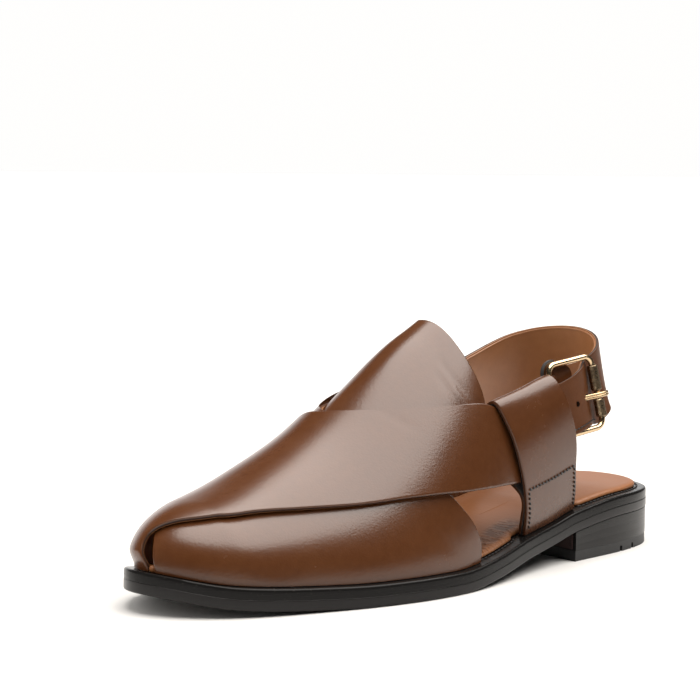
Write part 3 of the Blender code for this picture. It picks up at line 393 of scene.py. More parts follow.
rise = monotone([along_to_y(r.along) for r in SOLE_RISE], [HEEL_LIFT * r.lift / 100.0 for r in SOLE_RISE])
SECTION_YS = [along_to_y(s.along) for s in UPPER_SECTIONS]
crown = monotone(SECTION_YS, [INSTEP * s.crown / 100.0 for s in UPPER_SECTIONS])
ridge_x = monotone(SECTION_YS, [across_to_x(s.ridge) for s in UPPER_SECTIONS])
pinch_lateral = monotone(SECTION_YS, [s.lateral for s in UPPER_SECTIONS])
pinch_medial = monotone(SECTION_YS, [s.medial for s in UPPER_SECTIONS])
POLE_Y = along_to_y(FAN_POLE)
POLE = np.array([float(ridge_x(POLE_Y)), POLE_Y])


def welt_top(y):
    return rise(y) + OUTSOLE + GAP + MIDSOLE


def side_curve(curve, side):
    """One side of a closed curve, from toe to heel, as rows sorted by y."""
    toe = int(np.argmin(curve[:, 1]))
    heel = int(np.argmax(curve[:, 1]))
    turned = np.roll(curve, -toe, axis=0)
    stop = (heel - toe) % len(curve)
    medial = turned[: stop + 1]
    lateral = np.vstack([turned[stop:], turned[:1]])[::-1]
    return lateral if side > 0 else medial


FEATHER_SIDE = {side: side_curve(FEATHER, side) for side in (1, -1)}


def feather_x(y, side):
    rows = FEATHER_SIDE[side]
    return np.interp(y, rows[:, 1], rows[:, 0])


def toe_angle(points):
    """Direction from the pole of the toe fan: 0 is straight ahead, lateral is positive."""
    away = np.asarray(points, float) - POLE
    return np.arctan2(away[..., 0], -away[..., 1])


TOE_RING = FEATHER[FEATHER[:, 1] < POLE_Y + 12.0]
TOE_RING = TOE_RING[np.argsort(toe_angle(TOE_RING))]
TOE_ANGLES = toe_angle(TOE_RING)
TOE_REACH = np.linalg.norm(TOE_RING - POLE, axis=1)


def pattern(side, y, up):
    """A point of the flat pattern: up runs from 0 at the feather edge to 1 on the ridge."""
    if y >= POLE_Y:
        middle = float(ridge_x(y))
        return np.array([middle + (float(feather_x(y, side)) - middle) * (1.0 - up), y])
    edge = np.array([float(feather_x(y, side)), y])
    return POLE + (edge - POLE) * (1.0 - up)


def place_on_last(points):
    """Side, share of the way down from ridge to feather edge, and the two ends of that way."""
    points = np.asarray(points, float)
    x, y = points[..., 0], points[..., 1]
    behind = y >= POLE_Y
    ridge = ridge_x(y)
    straight = np.where(x >= ridge, 1.0, -1.0)
    straight_edge = np.where(straight > 0.0, feather_x(y, 1), feather_x(y, -1))
    angle = toe_angle(points)
    reach = np.interp(angle, TOE_ANGLES, TOE_REACH)
    side = np.where(behind, straight, np.sin(angle))
    middle = np.stack([np.where(behind, ridge, POLE[0]), np.where(behind, y, POLE[1])], axis=-1)
    edge = np.stack([
        np.where(behind, straight_edge, POLE[0] + reach * np.sin(angle)),
        np.where(behind, y, POLE[1] - reach * np.cos(angle)),
    ], axis=-1)
    down = np.linalg.norm(points - middle, axis=-1) / np.linalg.norm(edge - middle, axis=-1)
    return side, np.minimum(down, 1.0), middle, edge


def on_last(points):
    """The upper's outer surface over points of the pattern."""
    points = np.asarray(points, float)
    side, down, middle, edge = place_on_last(points)
    lateral = 0.5 + 0.5 * side
    turn = down * math.pi / 2.0
    power = lateral * pinch_lateral(points[..., 1]) + (1.0 - lateral) * pinch_medial(points[..., 1])
    plan = middle + (edge - middle) * (np.sin(turn) ** power)[..., None]
    foot = welt_top(edge[..., 1]) + GAP
    height = foot + (crown(plan[..., 1]) - foot) * np.maximum(np.cos(turn), 0.0) ** power
    return np.concatenate([plan, height[..., None]], axis=-1)


def surface_normal(points, step=0.6):
    """Outward direction of the upper over points of the pattern."""
    points = np.asarray(points, float)
    sideways = np.array([step, 0.0])
    onwards = np.array([0.0, step])
    across = on_last(points + sideways) - on_last(points - sideways)
    forward = on_last(points + onwards) - on_last(points - onwards)
    normal = np.cross(across, forward)
    return normal / np.linalg.norm(normal, axis=-1, keepdims=True)


def on_upper(points, offset):
    return on_last(points) + surface_normal(points) * np.asarray(offset)[..., None]


# Pieces: every mesh is shaped in millimetres and finished in metres.
def finish_piece(name, mesh, finishes, stands_for=(), smooth=38.0):
    """A shaped mesh as a named piece with its materials, riding on the shoe."""
    bmesh.ops.scale(mesh, vec=(MM, MM, MM), verts=mesh.verts)
    data = bpy.data.meshes.new(name)
    mesh.to_mesh(data)
    mesh.free()
    data.shade_smooth()
    data.set_sharp_from_angle(angle=math.radians(smooth))
    item = bpy.data.objects.new(name, data)
    for finish in finishes:
        data.materials.append(finish)
    bpy.context.scene.collection.objects.link(item)
    if stands_for:
        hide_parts(*stands_for)
    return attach(item, "root")


def set_out(mesh, rows, columns, low, high=None, edge=None):
    """Move a flat grid's corners to two grids of points, and mark each with its distance from a cut edge."""
    layer = mesh.verts.layers.float.new("edge")
    for vertex in mesh.verts:
        i = round((vertex.co.x + 0.5) * (rows - 1))
        j = round((vertex.co.y + 0.5) * (columns - 1))
        vertex[layer] = 99.0 if edge is None else float(edge[i, j])
        vertex.co = high[i, j] if high is not None and vertex.co.z > 0.5 else low[i, j]


def wall(outer, inner, edge=None):
    """A closed wall between two grids of points. Faces: 0 outside, 1 cut edges, 2 inside."""
    rows, columns = outer.shape[:2]
    mesh = bmesh.new()
    bmesh.ops.create_grid(mesh, x_segments=rows - 1, y_segments=columns - 1, size=0.5)
    made = bmesh.ops.extrude_face_region(mesh, geom=mesh.faces[:])
    lifted = [v for v in made["geom"] if isinstance(v, bmesh.types.BMVert)]
    bmesh.ops.translate(mesh, verts=lifted, vec=(0.0, 0.0, 1.0))
    bmesh.ops.recalc_face_normals(mesh, faces=mesh.faces[:])
    for face in mesh.faces:
        face.normal_update()
        if abs(face.normal.z) < 0.5:
            face.material_index = 1
        elif face.normal.z < 0.0:
            face.material_index = 2
    set_out(mesh, rows, columns, inner, outer, edge)
    return outwards(mesh)


def outwards(mesh):
    if mesh.calc_volume(signed=True) < 0.0:
        bmesh.ops.reverse_faces(mesh, faces=mesh.faces[:])
    return mesh


def loft(rings, edge=None):
    """A closed body through rings of points; both ends are filled."""
    points = np.asarray(rings, float)
    points = np.concatenate([points, points[:, :1]], axis=1)
    if edge is not None:
        edge = np.tile(np.asarray(edge, float)[:, None], (1, points.shape[1]))
    rows, columns = points.shape[:2]
    mesh = bmesh.new()
    bmesh.ops.create_grid(mesh, x_segments=rows - 1, y_segments=columns - 1, size=0.5)
    set_out(mesh, rows, columns, points, edge=edge)
    bmesh.ops.remove_doubles(mesh, verts=mesh.verts, dist=0.0005)
    bmesh.ops.holes_fill(mesh, edges=[e for e in mesh.edges if e.is_boundary], sides=0)
    bmesh.ops.recalc_face_normals(mesh, faces=mesh.faces[:])
    return outwards(mesh)


def join(mesh, other):
    """Add another bmesh's faces to this one."""
    data = bpy.data.meshes.new("joining")
    other.to_mesh(data)
    other.free()
    mesh.from_mesh(data)
    bpy.data.meshes.remove(data)
    return mesh


def smoothstep(share):
    share = np.clip(share, 0.0, 1.0)
    return share * share * (3.0 - 2.0 * share)


CUT_STEPS = (0.0, 0.12, 0.32, 0.65, 1.1, 1.9)      # distances from a cut edge where its rounding is shaped


def stations(length, count, first=True, last=True):
    """Distances along a cut piece, close together beside its cut edges."""
    ends = [s * min(1.0, length / 8.0) for s in CUT_STEPS]
    head = ends if first else [0.0]
    tail = [length - s for s in reversed(ends)] if last else [length]
    middle = np.linspace(head[-1], tail[0], count - len(head) - len(tail) + 2)[1:-1]
    return np.concatenate([head, middle, tail])


def cut_round(distance, radius):
    """How far a cut edge's rounding lies below the face, at a distance from the edge."""
    near = np.clip(radius - np.asarray(distance), 0.0, radius)
    return radius - np.sqrt(radius ** 2 - near ** 2)


Crease = namedtuple("Crease", "place x y turn length width depth")


def creases(table, x, y):
    """Height of soft ridges, and troughs where depth is negative, at places of a piece's own plan."""
    total = np.zeros(np.shape(x))
    for crease in table:
        turn = math.radians(crease.turn)
        u = (x - crease.x) * math.cos(turn) + (y - crease.y) * math.sin(turn)
        v = (y - crease.y) * math.cos(turn) - (x - crease.x) * math.sin(turn)
        bow = v - 0.12 * u * u / max(crease.length, 1.0)
        total += crease.depth * np.exp(-(bow / crease.width) ** 2 - (u / crease.length) ** 4)
    return total


# Sole.
HEEL_BREAST = 26.5      # along, percent
BREAST_HOLLOW = 2.0     # how far the breast curves in at its middle
SPINE_REACH = 40.0      # how far the middle line of the sole stops short of its two ends
DASH_INSET = 14.6       # from the sole's edge to the middle of the stamped band
DASH_LENGTH = 4.6
DASH_SPACING = 2.05
DASH_WIDTH = 0.95
DASH_HEIGHT = 0.8
DASH_PROUD = 0.26       # how far a dash stands out below the underside; at the ball it dips under z = 0
DASH_FRONT = 91.0       # along, percent, where the band of dashes stops
DASH_REAR = 29.5


def towards_spine(curve, share):
    """A closed curve drawn in towards the sole's middle line."""
    y = np.clip(curve[:, 1], EDGE[:, 1].min() + SPINE_REACH, EDGE[:, 1].max() - SPINE_REACH)
    middle = 0.5 * (np.interp(y, FEATHER_SIDE[1][:, 1], FEATHER_SIDE[1][:, 0])
                    + np.interp(y, FEATHER_SIDE[-1][:, 1], FEATHER_SIDE[-1][:, 0]))
    spine = np.stack([middle, y], axis=1)
    return spine + (curve - spine) * share


def slab(edge, profile, under, over, deep=15.0):
    """A closed plate. profile: rows of inset and share of the height, up its side. Faces in from the side are
    carried on to its middle."""
    rings = []
    marks = []
    shrink = (0.04, 0.2, 0.4, 0.6, 0.8)
    inner = inset(edge, deep)

    def add(curve, level, mark):
        low = under(curve[:, 0], curve[:, 1])
        high = over(curve[:, 0], curve[:, 1])
        rings.append(np.column_stack([curve, low + (high - low) * level]))
        marks.append(mark)

    for share in shrink:
        add(towards_spine(inner, share), 0.0, 40.0)
    for distance in (deep, 12.5, 10.0, 7.0, 4.0, 2.0):
        add(inset(edge, distance), 0.0, distance)
    for distance, level in profile:
        add(inset(edge, distance), level, distance)
    for distance in (2.0, 4.0, 7.0, 10.0, 12.5, deep):
        add(inset(edge, distance), 1.0, distance)
    for share in reversed(shrink):
        add(towards_spine(inner, share), 1.0, 40.0)
    return loft(rings, marks)


OUTSOLE_SIDE = ((0.75, 0.0), (0.36, 0.03), (0.1, 0.1), (0.0, 0.2), (0.0, 0.5), (0.0, 0.9), (0.03, 0.975),
                (0.12, 1.0))
MIDSOLE_SIDE = ((0.12, 0.0), (0.03, 0.025), (0.0, 0.1), (0.0, 0.4), (0.02, 0.7), (0.12, 0.84), (0.34, 0.94),
                (0.7, 0.99), (1.1, 1.0))


def make_outsole(finish):
    edge = thin(EDGE, 300)
    mesh = slab(edge, OUTSOLE_SIDE, lambda x, y: rise(y), lambda x, y: rise(y) + OUTSOLE + 0.1)
    return finish_piece("outsole_dressed", mesh, [finish], ["outsole"])


def make_midsole(finish):
    edge = thin(inset(EDGE, 0.08), 300)
    low = OUTSOLE + 0.12
    mesh = slab(edge, MIDSOLE_SIDE, lambda x, y: rise(y) + low, lambda x, y: welt_top(y))
    return finish_piece("midsole_dressed", mesh, [finish], ["midsole"])


def make_sole_dashes(finish):
    """The stamped band inside each side of the sole, made as short bars that stand proud of it."""
    band = inset(EDGE, DASH_INSET)
    inward = inset(EDGE, DASH_INSET + 1.0) - band
    mesh = bmesh.new()
    for side in (1, -1):
        rows = side_curve(np.column_stack([band, inward]), side)
        rows = rows[(rows[:, 1] > along_to_y(DASH_FRONT)) & (rows[:, 1] < along_to_y(DASH_REAR))]
        count = int(travel(rows[:, :2])[-1] / DASH_SPACING)
        for x, y, way_x, way_y in resample(rows, count):
            bar = bmesh.new()
            bmesh.ops.create_cube(bar, size=1.0)
            bmesh.ops.bevel(bar, geom=bar.edges[:], offset=0.28, offset_type="OFFSET", segments=1,
                            profile=0.5, affect="EDGES", material=-1)
            bmesh.ops.scale(bar, vec=(DASH_LENGTH, DASH_WIDTH, DASH_HEIGHT), verts=bar.verts)
            bmesh.ops.rotate(bar, matrix=Matrix.Rotation(math.atan2(way_y, way_x), 3, "Z"), verts=bar.verts)
            slope = math.atan((rise(y + 1.0) - rise(y - 1.0)) / 2.0)
            bmesh.ops.rotate(bar, matrix=Matrix.Rotation(slope, 3, "X"), verts=bar.verts)
            middle = float(rise(y)) + DASH_HEIGHT / 2.0 - DASH_PROUD
            bmesh.ops.translate(bar, vec=(x, y, middle), verts=bar.verts)
            join(mesh, bar)
    return finish_piece("sole_stamped_band", mesh, [finish])


HEEL_ROUND_STEPS = 220


def heel_edge(distance, around=HEEL_ROUND_STEPS, across=36):
    """The heel's own closed edge: the seat's curve, closed by a hollow breast."""
    curve = inset(EDGE, distance)
    breast = along_to_y(HEEL_BREAST) + distance
    kept = curve[curve[:, 1] > breast]
    first = int(np.argmax(np.linalg.norm(kept - np.roll(kept, 1, axis=0), axis=1)))
    round_heel = resample(np.roll(kept, -first, axis=0), around)
    start, stop = round_heel[-1], round_heel[0]
    share = np.linspace(0.0, 1.0, across + 2)[1:-1, None]
    front = start + (stop - start) * share
    front[:, 1] += BREAST_HOLLOW * np.sin(math.pi * share[:, 0])
    return np.vstack([round_heel, front])


LIFTS = 3
LIFT_GROOVE = 0.025


def make_heel_stack(finish):
    """The stacked lifts, glued and trimmed, with a fine line left at each joint."""
    rings = []
    marks = []

    def add(distance, level):
        curve = heel_edge(distance)
        low = TOP_PIECE + 0.05
        high = rise(curve[:, 1]) - 0.02
        rings.append(np.column_stack([curve, low + (high - low) * level]))
        marks.append(distance)

    add(6.0, 0.0)
    for lift in range(LIFTS):
        bottom = lift / LIFTS
        top = (lift + 1) / LIFTS
        add(0.2 + LIFT_GROOVE, bottom)
        add(0.2, bottom + 0.018)
        add(0.2, 0.5 * (bottom + top))
        add(0.2, top - 0.018)
        add(0.2 + LIFT_GROOVE, top)
    add(6.0, 1.0)
    mesh = loft(rings, marks)
    return finish_piece("heel_stack_dressed", mesh, [finish], ["heel_stack"])


GROOVE_ALONG = (14.2, 10.6)
GROOVE_WIDTH = 1.6
GROOVE_DEPTH = 2.4
RIB_SPACING = 1.3
RIB_DEPTH = 0.5


def tread_stations():
    """Rows of y and depth across the top piece: two grooves, then fine ribs to the back of the heel."""
    rows = []
    for along in GROOVE_ALONG:
        y = along_to_y(along)
        half = GROOVE_WIDTH / 2.0
        rows += [(y - half - 0.12, 0.0), (y - half, GROOVE_DEPTH),
                 (y + half, GROOVE_DEPTH), (y + half + 0.12, 0.0)]
    y = along_to_y(GROOVE_ALONG[1]) + GROOVE_WIDTH / 2.0 + 1.2
    while y < along_to_y(0.8):
        rows += [(y, 0.0), (y + 0.14, RIB_DEPTH), (y + 0.48, RIB_DEPTH), (y + 0.62, 0.0)]
        y += RIB_SPACING
    return rows


def make_heel_top_piece(finish):
    """The rubber top piece: smooth in front, two grooves across, fine ribs behind."""
    rows = tread_stations()
    ys = [row[0] for row in rows]
    depths = [row[1] for row in rows]
    mesh = bmesh.new()
    ring = [mesh.verts.new((x, y, 0.0)) for x, y in heel_edge(0.35, 160, 24)]
    mesh.faces.new(ring)
    for y in ys:
        bmesh.ops.bisect_plane(
            mesh, geom=mesh.verts[:] + mesh.edges[:] + mesh.faces[:],
            plane_co=(0.0, y, 0.0), plane_no=(0.0, 1.0, 0.0)
        )
    made = bmesh.ops.extrude_face_region(mesh, geom=mesh.faces[:])
    lifted = [v for v in made["geom"] if isinstance(v, bmesh.types.BMVert)]
    bmesh.ops.translate(mesh, verts=lifted, vec=(0.0, 0.0, 1.0))
    bmesh.ops.recalc_face_normals(mesh, faces=mesh.faces[:])
    for vertex in mesh.verts:
        if vertex.co.z > 0.5:
            vertex.co.z = TOP_PIECE
        else:
            vertex.co.z = float(np.interp(vertex.co.y, ys, depths, 0.0, 0.0))
    rims = [e for e in mesh.edges if len(e.link_faces) == 2 and e.calc_face_angle(0.0) > math.radians(60.0)]
    rims = [e for e in rims if e.verts[0].co.z == TOP_PIECE and e.verts[1].co.z == TOP_PIECE]
    bmesh.ops.bevel(mesh, geom=rims, offset=0.18, offset_type="OFFSET", segments=2, profile=0.5,
                    affect="EDGES", material=-1)
    return finish_piece("heel_top_piece_dressed", outwards(mesh), [finish], ["heel_top_piece"])


def make_breast_flap(finish):
    """The raw edge of the outsole's leather where it turns down over the heel's breast."""
    front = heel_edge(0.2)[HEEL_ROUND_STEPS:]
    front = resample(front[::-1], 60)
    shares = np.linspace(0.0, 1.0, 5)
    outer = []
    inner = []
    for x, y in front:
        low = TOP_PIECE + 0.8
        high = float(rise(y)) - 0.05
        outer.append([(x, y - 0.85 + 0.1 * math.cos(2.0 * math.pi * s), low + (high - low) * s)
                      for s in shares])
        inner.append([(x, y - 0.05, low + (high - low) * s) for s in shares])
    return finish_piece("heel_breast_flap", wall(np.array(outer), np.array(inner)), [finish] * 3)


# Insole: a padded leather sock.
INSOLE_EDGE = 1.5
INSOLE_CROWN = 1.6
# Its rolled edge: distance in from the edge, and share of the sock's height there.
INSOLE_ROLL = (
    (1.0, 0.0), (0.25, 0.06), (0.0, 0.3), (0.1, 0.52), (0.4, 0.72), (0.9, 0.86), (1.6, 0.95), (2.3, 0.99),
)
INSOLE_CREASES = (
    Crease("waist fold 1", 27.0, 12.0, 62.0, 7.0, 1.1, -0.28),
    Crease("waist fold 2", 29.5, 6.0, 48.0, 6.0, 0.9, -0.3),
    Crease("waist fold 3", 31.0, 0.5, 70.0, 6.5, 1.0, -0.26),
    Crease("waist fold 4", 33.5, -5.5, 58.0, 6.0, 0.9, -0.3),
    Crease("waist fold 5", 26.0, 3.0, 100.0, 8.0, 1.2, 0.25),
    Crease("waist fold 6", 30.0, -9.0, 84.0, 7.0, 1.1, 0.28),
    Crease("waist fold 7", 24.0, -4.0, 76.0, 8.0, 1.3, -0.22),
    Crease("waist fold 8", 33.0, 9.0, 88.0, 5.0, 0.8, 0.22),
    Crease("waist wrinkle 1", 27.5, 14.5, 20.0, 5.5, 0.7, -0.3),
    Crease("waist wrinkle 2", 28.5, 10.5, 12.0, 5.0, 0.7, 0.26),
    Crease("waist wrinkle 3", 28.0, 8.0, 24.0, 6.0, 0.7, -0.3),
    Crease("waist wrinkle 4", 29.0, 4.0, 8.0, 5.0, 0.7, -0.28),
    Crease("waist wrinkle 5", 28.0, 1.5, 16.0, 5.5, 0.8, 0.26),
    Crease("waist wrinkle 6", 29.0, -2.0, 20.0, 5.0, 0.7, -0.3),
    Crease("waist wrinkle 7", 29.5, -6.5, 10.0, 5.0, 0.7, -0.26),
    Crease("rolled edge", 31.5, 3.0, 86.0, 12.0, 2.0, 0.35),
    # The inner side is guessed: these two raise it so that tan shows right up to the top strap's low edge.
    Crease("medial arch", -24.0, 12.0, 88.0, 34.0, 9.0, 1.6),
    Crease("medial pad", -27.0, 52.0, 90.0, 26.0, 7.0, 3.0),
    Crease("heel dish", -2.0, 96.0, 90.0, 34.0, 26.0, -0.8),
    Crease("heel wrinkle 1", 12.0, 66.0, 30.0, 10.0, 1.6, -0.2),
    Crease("heel wrinkle 2", 16.0, 58.0, 18.0, 9.0, 1.4, 0.18),
    Crease("seat wrinkle", -10.0, 74.0, -24.0, 12.0, 1.8, -0.18),
)


# Insole: how far it stays inside the sole's edge, so that straps and loops stand round it.
Inset = namedtuple("Inset", "place along distance")
INSOLE_INSET = (
    Inset("toe", 100.0, 7.2),
    Inset("toes", 88.0, 6.6),
    Inset("last of the straps", 41.2, 6.6),
    Inset("front of the loops", 39.6, 8.4),
    Inset("rear of the loops", 24.6, 8.4),
    Inset("seat", 23.0, 5.2),
    Inset("heel back", 0.0, 5.2),
)
insole_inset = monotone([along_to_y(i.along) for i in INSOLE_INSET], [i.distance for i in INSOLE_INSET])
TOE_TIP_REACH = 2.6     # the insole's tip comes forward between the two straps


def make_insole(finish):
    tip = np.exp(-((EDGE[:, 0] + 6.0) / 3.2) ** 2) * (EDGE[:, 1] < POLE_Y)
    edge = thin(inset(EDGE, insole_inset(EDGE[:, 1]) - TOE_TIP_REACH * tip), 640)
    low = edge[:, 0].min()
    high = edge[:, 0].max()
    middle = 0.5 * (low + high)

    def over(x, y):
        across = np.minimum(np.abs(x - middle) / (0.5 * (high - low)), 1.0)
        pad = INSOLE_EDGE + INSOLE_CROWN * (1.0 - across ** 2)
        return welt_top(y) + pad + creases(INSOLE_CREASES, x, y)

    rings = []
    marks = []
    for share in (0.05, 0.5):
        ring = towards_spine(edge, share)
        rings.append(np.column_stack([ring, welt_top(ring[:, 1]) + 0.15]))
        marks.append(40.0)
    for distance, level in INSOLE_ROLL:
        ring = inset(edge, distance)
        base = welt_top(ring[:, 1]) + 0.15
        rings.append(np.column_stack([ring, base + (over(ring[:, 0], ring[:, 1]) - base) * level]))
        marks.append(distance)
    for distance in np.arange(2.9, 13.0, 0.6):
        ring = inset(edge, distance)
        rings.append(np.column_stack([ring, over(ring[:, 0], ring[:, 1])]))
        marks.append(distance)
    last = inset(edge, 13.0)
    for share in np.linspace(0.95, 0.006, 18):
        ring = towards_spine(last, share)
        rings.append(np.column_stack([ring, over(ring[:, 0], ring[:, 1])]))
        marks.append(14.0)
    mesh = loft(rings, marks)
    piece = finish_piece("insole_sock", mesh, [finish], ["insole"])
    return piece


def tube(name, path, radius, finish, closed=False, sides=8, stands_for=()):
    """A round wire or thread through points."""
    data = bpy.data.curves.new(name + "_line", "CURVE")
    data.dimensions = "3D"
    data.bevel_depth = 1.0
    data.bevel_resolution = max(sides // 4 - 1, 0)
    data.use_fill_caps = not closed
    line = data.splines.new("POLY")
    line.points.add(len(path) - 1)
    radii = np.broadcast_to(radius, (len(path),))
    for knot, point, size in zip(line.points, path, radii):
        knot.co = (*point, 1.0)
        knot.radius = size
    line.use_cyclic_u = closed
    line.use_smooth = True
    maker = bpy.data.objects.new(name + "_line", data)
    bpy.context.scene.collection.objects.link(maker)
    mesh = bmesh.new()
    made = bpy.data.meshes.new_from_object(maker.evaluated_get(bpy.context.evaluated_depsgraph_get()))
    mesh.from_mesh(made)
    bpy.data.objects.remove(maker)
    bpy.data.meshes.remove(made)
    mesh.verts.layers.float.new("edge")
    bmesh.ops.remove_doubles(mesh, verts=mesh.verts, dist=0.0005)
    bmesh.ops.recalc_face_normals(mesh, faces=mesh.faces[:])
    return finish_piece(name, outwards(mesh), [finish], stands_for, 50.0)


def stitch_row(mesh, path, normals, length, pitch, radius, sink=0.25, slant=0.0):
    """Sewn stitches laid along a path on a surface, each turned by slant degrees."""
    total = travel(path)[-1]
    count = max(int(round(total / pitch)), 1)
    centres = at_distances(path, (np.arange(count) + 0.5) * total / count)
    ahead = at_distances(path, np.minimum((np.arange(count) + 0.5) * total / count + 0.3, total)) - centres
    ups = np.stack([np.interp((np.arange(count) + 0.5) * total / count, travel(path), normals[:, k])
                    for k in range(3)], axis=1)
    for centre, way, up in zip(centres, ahead, ups):
        way = Vector(way).normalized()
        up = Vector(up).normalized()
        side = up.cross(way).normalized()
        up = way.cross(side)
        turn = Matrix((way, side, up)).transposed() @ Matrix.Rotation(math.radians(slant), 3, "Z")
        thread = bmesh.new()
        bmesh.ops.create_uvsphere(thread, u_segments=6, v_segments=5, radius=0.5)
        bmesh.ops.rotate(thread, matrix=Matrix.Rotation(math.pi / 2.0, 3, "Y"), verts=thread.verts)
        bmesh.ops.scale(thread, vec=(length, 2.0 * radius, 2.0 * radius), verts=thread.verts)
        bmesh.ops.transform(thread, matrix=turn.to_4x4(), verts=thread.verts)
        bmesh.ops.translate(thread, vec=Vector(centre) + up * (radius - sink), verts=thread.verts)
        join(mesh, thread)


def make_welt_stitches(finish):
    """Stitches round the seat between the two loops, where the sock meets the welt."""
    line = inset(EDGE, insole_inset(EDGE[:, 1]) - 1.1)
    mesh = bmesh.new()
    ring = line[(line[:, 1] > along_to_y(24.0))]
    first = int(np.argmax(np.linalg.norm(ring - np.roll(ring, 1, axis=0), axis=1)))
    ring = np.roll(ring, -first, axis=0)
    path = np.column_stack([ring, welt_top(ring[:, 1]) + 0.1])
    stitch_row(mesh, path, np.tile([0.0, 0.0, 1.0], (len(path), 1)), 2.1, 2.6, 0.36)
    for side in (1, -1):
        rows = side_curve(line, side)
        rows = rows[(rows[:, 1] > along_to_y(51.0)) & (rows[:, 1] < along_to_y(40.5))]
        path = np.column_stack([rows, welt_top(rows[:, 1]) + 0.1])
        stitch_row(mesh, path, np.tile([0.0, 0.0, 1.0], (len(path), 1)), 2.1, 2.6, 0.36)
    return finish_piece("welt_stitches", mesh, [finish])


# Upper: two crossing straps.
CLIMB = 0.2             # up, share, where the top strap has climbed onto the strap under it
TOP_STRAP_RISE = 2.6
TOP_STRAP_CLEAR = 0.75
FAR_SETBACK = 0.4       # share of the setback that is left on the medial side
RIDGE_LIP = 0.45         # how far the under strap's rear edge stands up where it crosses the ridge
UNDER_CREASES = (
    Crease("toe box dip", 24.0, -96.0, 20.0, 26.0, 8.0, -0.25),
    Crease("joint swell", 39.0, -38.0, 80.0, 30.0, 8.0, 0.2),
    Crease("vamp break 1", 33.0, -30.0, 60.0, 12.0, 2.6, -0.12),
    Crease("vamp break 2", 37.0, -22.0, 66.0, 10.0, 2.2, -0.12),
)
TOP_CREASES = (
    Crease("vamp dip", -4.0, -42.0, 8.0, 16.0, 9.0, -0.2),
    Crease("vamp swell", 4.0, -58.0, 70.0, 30.0, 16.0, 0.3),
    Crease("joint break 1", 8.0, -29.0, 40.0, 5.0, 1.6, -0.1),
    Crease("joint break 2", 12.0, -26.0, 56.0, 4.0, 1.3, -0.1),
    Crease("strap bend 1", 33.5, 10.0, 34.0, 4.0, 1.1, -0.22),
    Crease("strap bend 2", 31.0, 5.0, 20.0, 4.0, 1.3, -0.14),
)


def edge_curve(steps, count, flip=1, setback=0.0):
    """A strap's edge as a smooth curve in the pattern; flip -1 gives the other strap's."""
    knots = []
    for step in steps:
        near_ridge = max(step.up / 50.0 - 1.0, 0.0) * (FAR_SETBACK if step.side * flip < 0 else 1.0)
        y = along_to_y(step.along - setback * near_ridge)
        knots.append(pattern(step.side * flip, y, step.up / 100.0))
    return spline(knots, count)


def feather_run(side, start, stop, count):
    """The feather edge from a distance past the toe tip to a percent of the length."""
    rows = FEATHER_SIDE[side]
    rows = rows[rows[:, 1] <= along_to_y(stop)]
    beyond = FEATHER_SIDE[-side]
    before = beyond[beyond[:, 1] < POLE_Y][:0:-1]
    rows = np.vstack([before, rows])
    gone = travel(rows)
    return at_distances(rows, np.linspace(start + gone[len(before)], gone[-1], count))


def patch(first, last, front, back):
    """The pattern points between four edges: first and last run along, front and back across."""
    rows, columns = len(first), len(front)
    p = np.linspace(0.0, 1.0, rows)[:, None, None]
    c = np.linspace(0.0, 1.0, columns)[None, :, None]
    grid = (1.0 - c) * first[:, None] + c * last[:, None] + (1.0 - p) * front[None] + p * back[None]
    corners = (1.0 - p) * ((1.0 - c) * first[0] + c * last[0]) + p * ((1.0 - c) * first[-1] + c * last[-1])
    return grid - corners


def spaced(grid, count, first=True, last=True):
    """The same patch with its columns set at true distances from its two long edges."""
    solid = on_last(grid)
    out = []
    away = []
    for row, line in zip(grid, solid):
        gone = travel(line)
        wanted = stations(gone[-1], count, first, last)
        out.append(np.stack([np.interp(wanted, gone, row[:, k]) for k in (0, 1)], axis=1))
        away.append(np.minimum(wanted if first else 99.0, gone[-1] - wanted if last else 99.0))
    return np.array(out), np.array(away)


def strap_grid(flip, rows, columns):
    """Pattern points of one crossing strap. flip 1 is lasted on the medial side, -1 on the lateral."""
    front = TOP_FRONT if flip > 0 else UNDER_FRONT
    lasted = feather_run(-flip, front.start, REAR_EDGE[0].along, columns)
    slit = [POLE + np.array([step.across, -step.ahead]) for step in front.steps]
    edge = LOW_EDGE if flip > 0 else UNDER_LOW_EDGE
    low_knots = [pattern(step.side * flip, along_to_y(step.along), step.up / 100.0) for step in edge]
    low = spline([lasted[0]] + slit + low_knots, rows)
    rear = edge_curve(REAR_EDGE, rows, flip, 0.0 if flip > 0 else UNDER_SETBACK)
    end = np.linspace(low[-1], rear[-1], columns)
    return patch(low, rear, lasted, end)


def climb(points):
    """0 where the top strap lies on the last, 1 where it has climbed onto the strap under it."""
    side, down = place_on_last(points)[:2]
    share = np.where(side > 0.2, 1.0, np.minimum((1.0 - down) / CLIMB, 1.0))
    return smoothstep(share)


